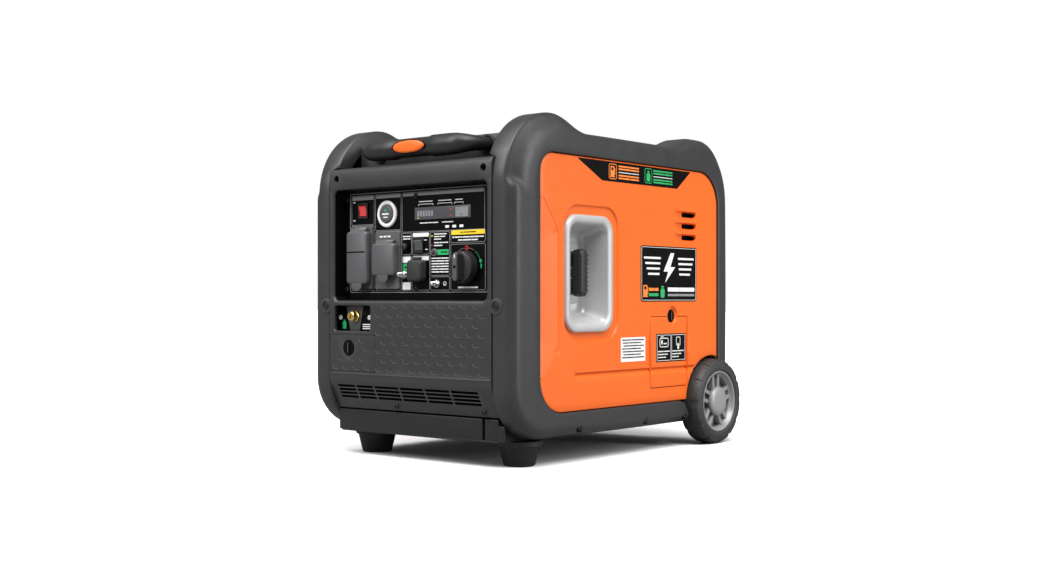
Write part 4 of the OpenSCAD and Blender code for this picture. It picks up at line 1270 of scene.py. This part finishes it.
def outlets():
    socket_bed("duplex_bed", "duplex_socket", (-149, 274.5), (-98.5, 378), 373)
    socket_bed("twistlock_bed", "twistlock_socket", (-91.5, 274), (-36, 367.5), 358)
    spring_lid("duplex_lid", (-123.5, 326), 24, 43, True)
    spring_lid("twistlock_lid", (-63, 322), 26, 26, False)
    low, high = cad("dc_cap")
    levels = ((0, high.y), (0, low.y + 3), (-1, low.y + 1), (-3, low.y))
    rings = [[on_front(u, v, d) for u, v in around(8, 303, 16 + grow, 17 + grow, 7 + grow * 0.5, 8)]
             for grow, d in levels]
    barrel = lathe([(0, -8), (2.5, -8), (2.5, 8), (0, 8)], (8, 17, 322.5), "X", 20)
    piece("dc_cap_cover", joined(loft(rings), barrel), "dc_cap", "rubber", RUBBER, "dc_cap", sharp=45)


def stud_shape(x, z, sides):
    """A threaded post with a washer and a nut of that many sides."""
    nut = [(0, PLATE - 0.1), (5.4, PLATE - 0.1), (5.4, 21), (4.8, 20.2), (3, 20.2), (3, 10.8), (2.2, 10), (0, 10)]
    washer = [(0, PLATE), (6.4, PLATE), (6.4, PLATE - 1), (0, PLATE - 1)]
    threads = [[(2.6, d), (3.35, d + 0.45), (2.6, d + 0.9)] for d in np.arange(11.2, 19.4, 1.1)]
    turns = [lathe(nut, (x, 0, z), "Y", sides), lathe(washer, (x, 0, z), "Y", 28)]
    return joined(*turns, *[lathe(thread, (x, 0, z), "Y", 24) for thread in threads])


def posts():
    pair = joined(*[stud_shape(x, 297.5, 28) for x in (-29.5, -17.5)])
    piece("parallel_post_studs", pair, CASING, "steel", STEEL, "parallel_posts")
    x, _, z = middle("ground_post")
    piece("ground_post_stud", stud_shape(x, z, 6), CASING, "steel", STEEL, "ground_post")
    sign = [PLATE_FACE.band(circle(x + 17, z, 3.4, 24), circle(x + 17, z, 2.6, 24)),
            PLATE_FACE.bar(x + 15.2, z - 1.2, x + 18.8, z - 0.5)]
    prints("ground_sign", sign, WHITE, "white_plastic")


def display():
    low, high = cad("display_window")
    strip = block(low, (high.x, high.y + 0.5, high.z))
    piece("display_strip", strip, CASING, "display", DISPLAY, "display_window", bevel=0.5)
    face = Face(on_front, low.y, -1)
    digits = [face.bar(2 + k * 6, 389, 6 + k * 6, 398) for k in range(6)] + [face.bar(84, 386, 110, 401)]
    prints("display_digits", digits, PALE, "pale_plastic")
    lamps = [face.slab(circle(u, v, 1.3, 14)) for u, v in ((74, 389), (74, 398), (96, 389))]
    prints("display_red_lamps", lamps, RED, "red_plastic")
    prints("display_amber_lamp", [face.slab(circle(4, 386.6, 1.2, 14))], YELLOW, "white_plastic")


def control_panel():
    plate = frame["nodes"]["control_plate"].data.materials
    plate.clear()
    plate.append(BLACK)
    control_prints()
    switches()
    start_button()
    small_buttons()
    outlets()
    posts()
    display()


def gas_inlet():
    """The brass fitting on its bracket, seen through the front cover's window."""
    x, _, z = middle("gas_inlet")
    low = cad("gas_inlet")[0].y
    body = [(0, 50), (6, 50), (6, 16), (7.1, 16), (7.1, 11.2), (6.6, 11), (6.6, 9.6), (7.9, 9.2), (7.9, low + 1.4),
            (6.6, low), (3.2, low), (3.2, low + 9), (0, low + 9)]
    nut = [(0, 16), (9.6, 16), (10.5, 15.2), (10.5, 11.9), (9.6, 11.1), (0, 11.1)]
    threads = [[(7.0, d), (7.88, d + 0.5), (7.0, d + 1)] for d in np.arange(low + 1.2, low + 7, 1.3)]
    shapes = [lathe(body, (x, 0, z), "Y", 40), *[lathe(thread, (x, 0, z), "Y", 36) for thread in threads],
              lathe(nut, (x, 0, z), "Y", 6)]
    piece("gas_inlet_fitting", joined(*shapes), CASING, "brass", BRASS, "gas_inlet", sharp=30)
    bracket = prism(round_rect((-172, 201), (-76, 251), 3, 4), 16, 18, on_front)
    piece("gas_bracket_plate", bracket, CASING, "painted_steel", BLACK, "gas_bracket", bevel=0.3)
    mount = prism([(x - 22, 247), (x - 13, 206), (x + 9, 206), (x + 18, 247)], 14.4, 16, on_front)
    piece("gas_inlet_mount", mount, CASING, "painted_steel", GREY, bevel=0.4)
    screws = joined(*[hex_screw((at, 15.5, 228), 4.2, "Y", -1) for at in (-166.5, -97.8)])
    piece("gas_window_screws", screws, CASING, "steel", WHITE)
    bottle = (round_rect((-163, 209), (-154, 221), 1.6, 3), around(-158.5, 222.6, 1.8, 1.6, 0.5, 3))
    prints("gas_tag", [prism(outline, 15.6, 16, on_front) for outline in bottle], GREEN, "white_plastic")
    face = Face(on_front, 16, -1)
    prints("gas_words", [face.bar(-115, v, -97, v + 1.8) for v in (209, 212.4, 215.8)], WHITE, "white_plastic")


# ---- decals on the side panels ----

DECAL_BASE = PANEL - 0.2
DECAL = Face(on_side, DECAL_BASE + 0.35, 1)
SIGN_ROWS = (474, 469.5, 459, 454.5)
LABEL_WORDS = [[3, 4], [5, 3, 4, 2], [4, 6, 3], [3, 3, 5, 3], [4, 5], [2, 6, 4], [5, 4]]


def field(outline):
    """The dark or pale ground that signs are printed on."""
    return prism(outline, DECAL_BASE - 0.3, DECAL.level, on_side)


def pump_sign(u, v, k):
    """A fuel pump: a body with a window, a foot and a hose."""
    outer = around(u, v + 1.5 * k, 4.2 * k, 6.2 * k, 1.2 * k, 4)
    inner = around(u, v + 4.2 * k, 2.4 * k, 2.0 * k, 0.5 * k, 4)
    return [DECAL.band(outer, inner), DECAL.bar(u - 5.4 * k, v - 6.6 * k, u + 5.4 * k, v - 4.9 * k),
            DECAL.bar(u + 4.8 * k, v - 3.5 * k, u + 6.0 * k, v + 5.4 * k)]


def bottle_sign(u, v, k):
    """A gas bottle: a rounded body, a neck and a valve."""
    return [DECAL.slab(around(u, v - 1.2 * k, 4.4 * k, 5.6 * k, 2.6 * k, 5)),
            DECAL.bar(u - 1.5 * k, v + 4 * k, u + 1.5 * k, v + 6 * k),
            DECAL.bar(u - 3 * k, v + 6 * k, u + 3 * k, v + 7.4 * k)]


def rating(frame_u, sign, sign_u, words_u):
    """A framed sign with four rows of dashes beside it."""
    shapes = [DECAL.frame(frame_u, 452.5, frame_u + 22, 477.5, 4, 1.2)] + sign(sign_u, 464, 1.25)
    for v in SIGN_ROWS:
        shapes += DECAL.dashes(words_u, v - 0.6, words_u + 58, 2.6, [4, 2, 1])
    return shapes


def side_decals(flip, side):
    """A rating strip, a plain name plate and two small labels, with signs and dashes and no words."""

    def put(name, shapes, material, slot):
        shape = joined(*shapes)
        piece(f"{name}_{side}", flip(shape), CASING, slot, material, sharp=25)

    strip = [(164, 480.5), (489, 480.5), (488, 479), (451, 451.5), (448, 449.5), (444, 448.8), (231, 448.8),
             (227, 449.5), (223, 451.5), (165, 479)]
    put("decal_fields", [field(strip), field(round_rect((337, 254), (509, 348), 5, 5))], BLACK, "black_plastic")
    tangerine = rating(246, pump_sign, 256, 273) + pump_sign(350, 271, 1.4)
    tangerine += DECAL.dashes(361, 272, 389, 5, [3, 2])
    put("decal_orange_signs", tangerine, TANGERINE, "orange_plastic")
    green = rating(348, bottle_sign, 359, 374) + bottle_sign(402, 270, 1.4)
    green += DECAL.dashes(361, 263, 389, 5, [2, 3])
    put("decal_green_signs", green, GREEN, "white_plastic")
    bolt = [(427, 337), (405, 305), (419, 305), (410, 286), (441, 313), (426, 313), (438, 337)]
    white = [DECAL.slab(bolt[::-1]), DECAL.bar(273, 464.2, 331, 465.4), DECAL.bar(374, 464.2, 432, 465.4)]
    for k in range(4):
        grow = 1.6 + k * 1.4
        v = 326 - k * 9
        white += [DECAL.bar(346 + k * 4, v, 398 - grow, v + 3.5),
                  DECAL.bar(448 + grow, v, 500 - k * 4, v + 3.5)]
    white += DECAL.dashes(418, 271, 502, 7, [3, 4])
    white += [DECAL.frame(339, 256, 507, 346, 4, 0.7)]
    put("decal_white_signs", white, WHITE, "white_plastic")
    put("decal_pale_line", DECAL.dashes(418, 263, 502, 4, [4, 5]), PALE, "pale_plastic")
    put("label_field", [field(round_rect((280, 155), (350, 195), 1.5, 3))], WHITE, "white_plastic")
    rows = []
    for k, words in enumerate(LABEL_WORDS):
        rows += DECAL.dashes(283 + (k % 3) * 2, 190 - k * 4.8, 346 - (k % 2) * 9, 1.7, words)
    put("label_rows", rows, BLACK, "black_plastic")


def door_label():
    """A two-part label on the service door with plain signs and dashes."""
    body = "service_door"
    ground = field(round_rect((383, 151), (474, 199), 1.5, 3))
    piece("door_label_field", ground, body, "black_plastic", BLACK)
    marks = [DECAL.frame(385, 153, 427.5, 197, 1.2, 0.8), DECAL.frame(429.5, 153, 472, 197, 1.2, 0.8),
             DECAL.frame(393, 176, 420, 192, 4, 1.4), DECAL.bar(398, 181, 402, 188), DECAL.bar(405, 181, 415, 183),
             DECAL.bar(396, 193, 405, 194.4), DECAL.frame(444, 178, 457, 193, 2, 1.2),
             DECAL.bar(448, 172, 453, 182)]
    for k, words in enumerate([[3, 4], [5, 3], [4, 2]]):
        v = 168 - k * 5
        marks += DECAL.dashes(388, v, 424 - k * 6, 1.7, words) + DECAL.dashes(432, v, 468 - k * 8, 1.7, words)
    piece("door_label_marks", joined(*marks), body, "white_plastic", WHITE, sharp=25)


def fuel_cap():
    """A cap with a ribbed rim and a raised grip bar across it."""
    low, high = cad("fuel_cap")
    c = middle("fuel_cap")
    cap_r, ribs, rib_depth, skirt = 30, 24, 0.035, 518.6
    levels = ((0.6, low.z, 0), (0.68, low.z, 0), (0.68, skirt, 0), (1.0, skirt, 1), (1.0, high.z - 2.4, 1),
              (0.95, high.z - 0.6, 0.6), (0.88, high.z, 0), (0.5, high.z - 1, 0))
    rings = []
    for k, h, ribbed in levels:
        ring = []
        for a in np.arange(96) * math.pi / 48:
            r = cap_r * k * (1 - rib_depth * ribbed * (0.5 + 0.5 * math.cos(ribs * a)) ** 2)
            ring.append((c.x + r * math.cos(a), c.y + r * math.sin(a), h))
        rings.append(ring)
    bar = [[(c.x + u, c.y + v, h) for u, v in around(0, 0, a, b, 5, 6)]
           for a, b, h in ((7, 24, high.z - 2), (7, 24, high.z - 0.8), (5.5, 22.5, high.z))]
    piece("fuel_cap_grip", joined(loft(rings), loft(bar)), "fuel_cap", "black_plastic", TRIM, "fuel_cap", sharp=40)


# ---- stage ----

def camera():
    lens = bpy.data.cameras.new("camera")
    lens.sensor_width = 36
    lens.lens = 46.12
    lens.shift_y = 0.0124
    lens.clip_end = 50
    eye = bpy.data.objects.new("camera", lens)
    bpy.context.scene.collection.objects.link(eye)
    eye.location = (1.486, FRONT - 1.5095, 0.26)
    eye.rotation_euler = (math.pi / 2, 0, math.atan2(0.637, 0.771))
    bpy.context.scene.camera = eye


def soft_light(name, place, aim, size, power):
    light = bpy.data.lights.new(name, "AREA")
    light.shape = "RECTANGLE"
    light.size, light.size_y = size
    light.energy = power
    lamp = bpy.data.objects.new(name, light)
    bpy.context.scene.collection.objects.link(lamp)
    lamp.location = place
    lamp.rotation_euler = (Vector(aim) - Vector(place)).to_track_quat("-Z", "Y").to_euler()


def seen_white(nodes, links, other, strength=1.0):
    """A socket's colour that is plain white to the eye and `other` to everything else."""
    path = nodes.new("ShaderNodeLightPath")
    made = nodes.new("ShaderNodeMix")
    made.data_type = "RGBA"
    links.new(path.outputs["Is Camera Ray"], made.inputs["Factor"])
    for key, value in (("A", (other, other, other, 1)), ("B", (strength, strength, strength, 1))):
        next(s for s in made.inputs if s.name == key and s.type == "RGBA").default_value = value
    return next(s for s in made.outputs if s.type == "RGBA")


def sun(name, toward, strength, angle):
    light = bpy.data.lights.new(name, "SUN")
    light.energy = strength
    light.angle = math.radians(angle)
    lamp = bpy.data.objects.new(name, light)
    bpy.context.scene.collection.objects.link(lamp)
    lamp.rotation_euler = Vector(toward).to_track_quat("-Z", "Y").to_euler()


def studio():
    scene = bpy.context.scene
    scene.view_settings.view_transform = "Standard"
    scene.view_settings.look = "None"
    world = bpy.data.worlds.new("studio")
    world.use_nodes = True
    tree = world.node_tree
    tree.links.new(seen_white(tree.nodes, tree.links, 0.25), tree.nodes["Background"].inputs["Color"])
    scene.world = world
    sun("key_sun", (-1.0, 0.85, -1.9), 3.5, 40)
    sun("top_sun", (0.2, 0.7, -1.9), 2.1, 60)
    aim = (0, 0, 0.3)
    soft_light("side_strip", (2.2, 0.9, 1.1), aim, (0.5, 2.2), 36)
    soft_light("front_strip", (-1.0, -2.0, 1.8), aim, (0.5, 1.6), 38)
    mesh = bpy.data.meshes.new("floor")
    mesh.from_pydata([(-20, -20, 0), (20, -20, 0), (20, 20, 0), (-20, 20, 0)], [], [(0, 1, 2, 3)])
    floor = bpy.data.objects.new("floor", mesh)
    bpy.context.scene.collection.objects.link(floor)
    paper = surface("floor_paper", (0.95, 0.95, 0.95), 0.9, (300, 0.02), 0.01, shine=0.0)
    shader = paper.node_tree.nodes["Principled BSDF"]
    nodes, links = paper.node_tree.nodes, paper.node_tree.links
    links.new(seen_white(nodes, links, 0.26, 0.95), shader.inputs["Base Color"])
    mesh.materials.append(paper)


camera()
studio()
finish_cad_nodes()
side_frames()
side_panels()
front_cover()
recess_and_vents()
access_cover()
screws()
latches()
top_cover()
rear_cover()
base()
wheels()
handle()
recoil_tray()
recoil_grip()
recoil_rope()
control_panel()
fuel_knob()
gas_inlet()
side_decals(lambda shape: shape, "right")
side_decals(mirrored, "left")
door_label()
fuel_cap()
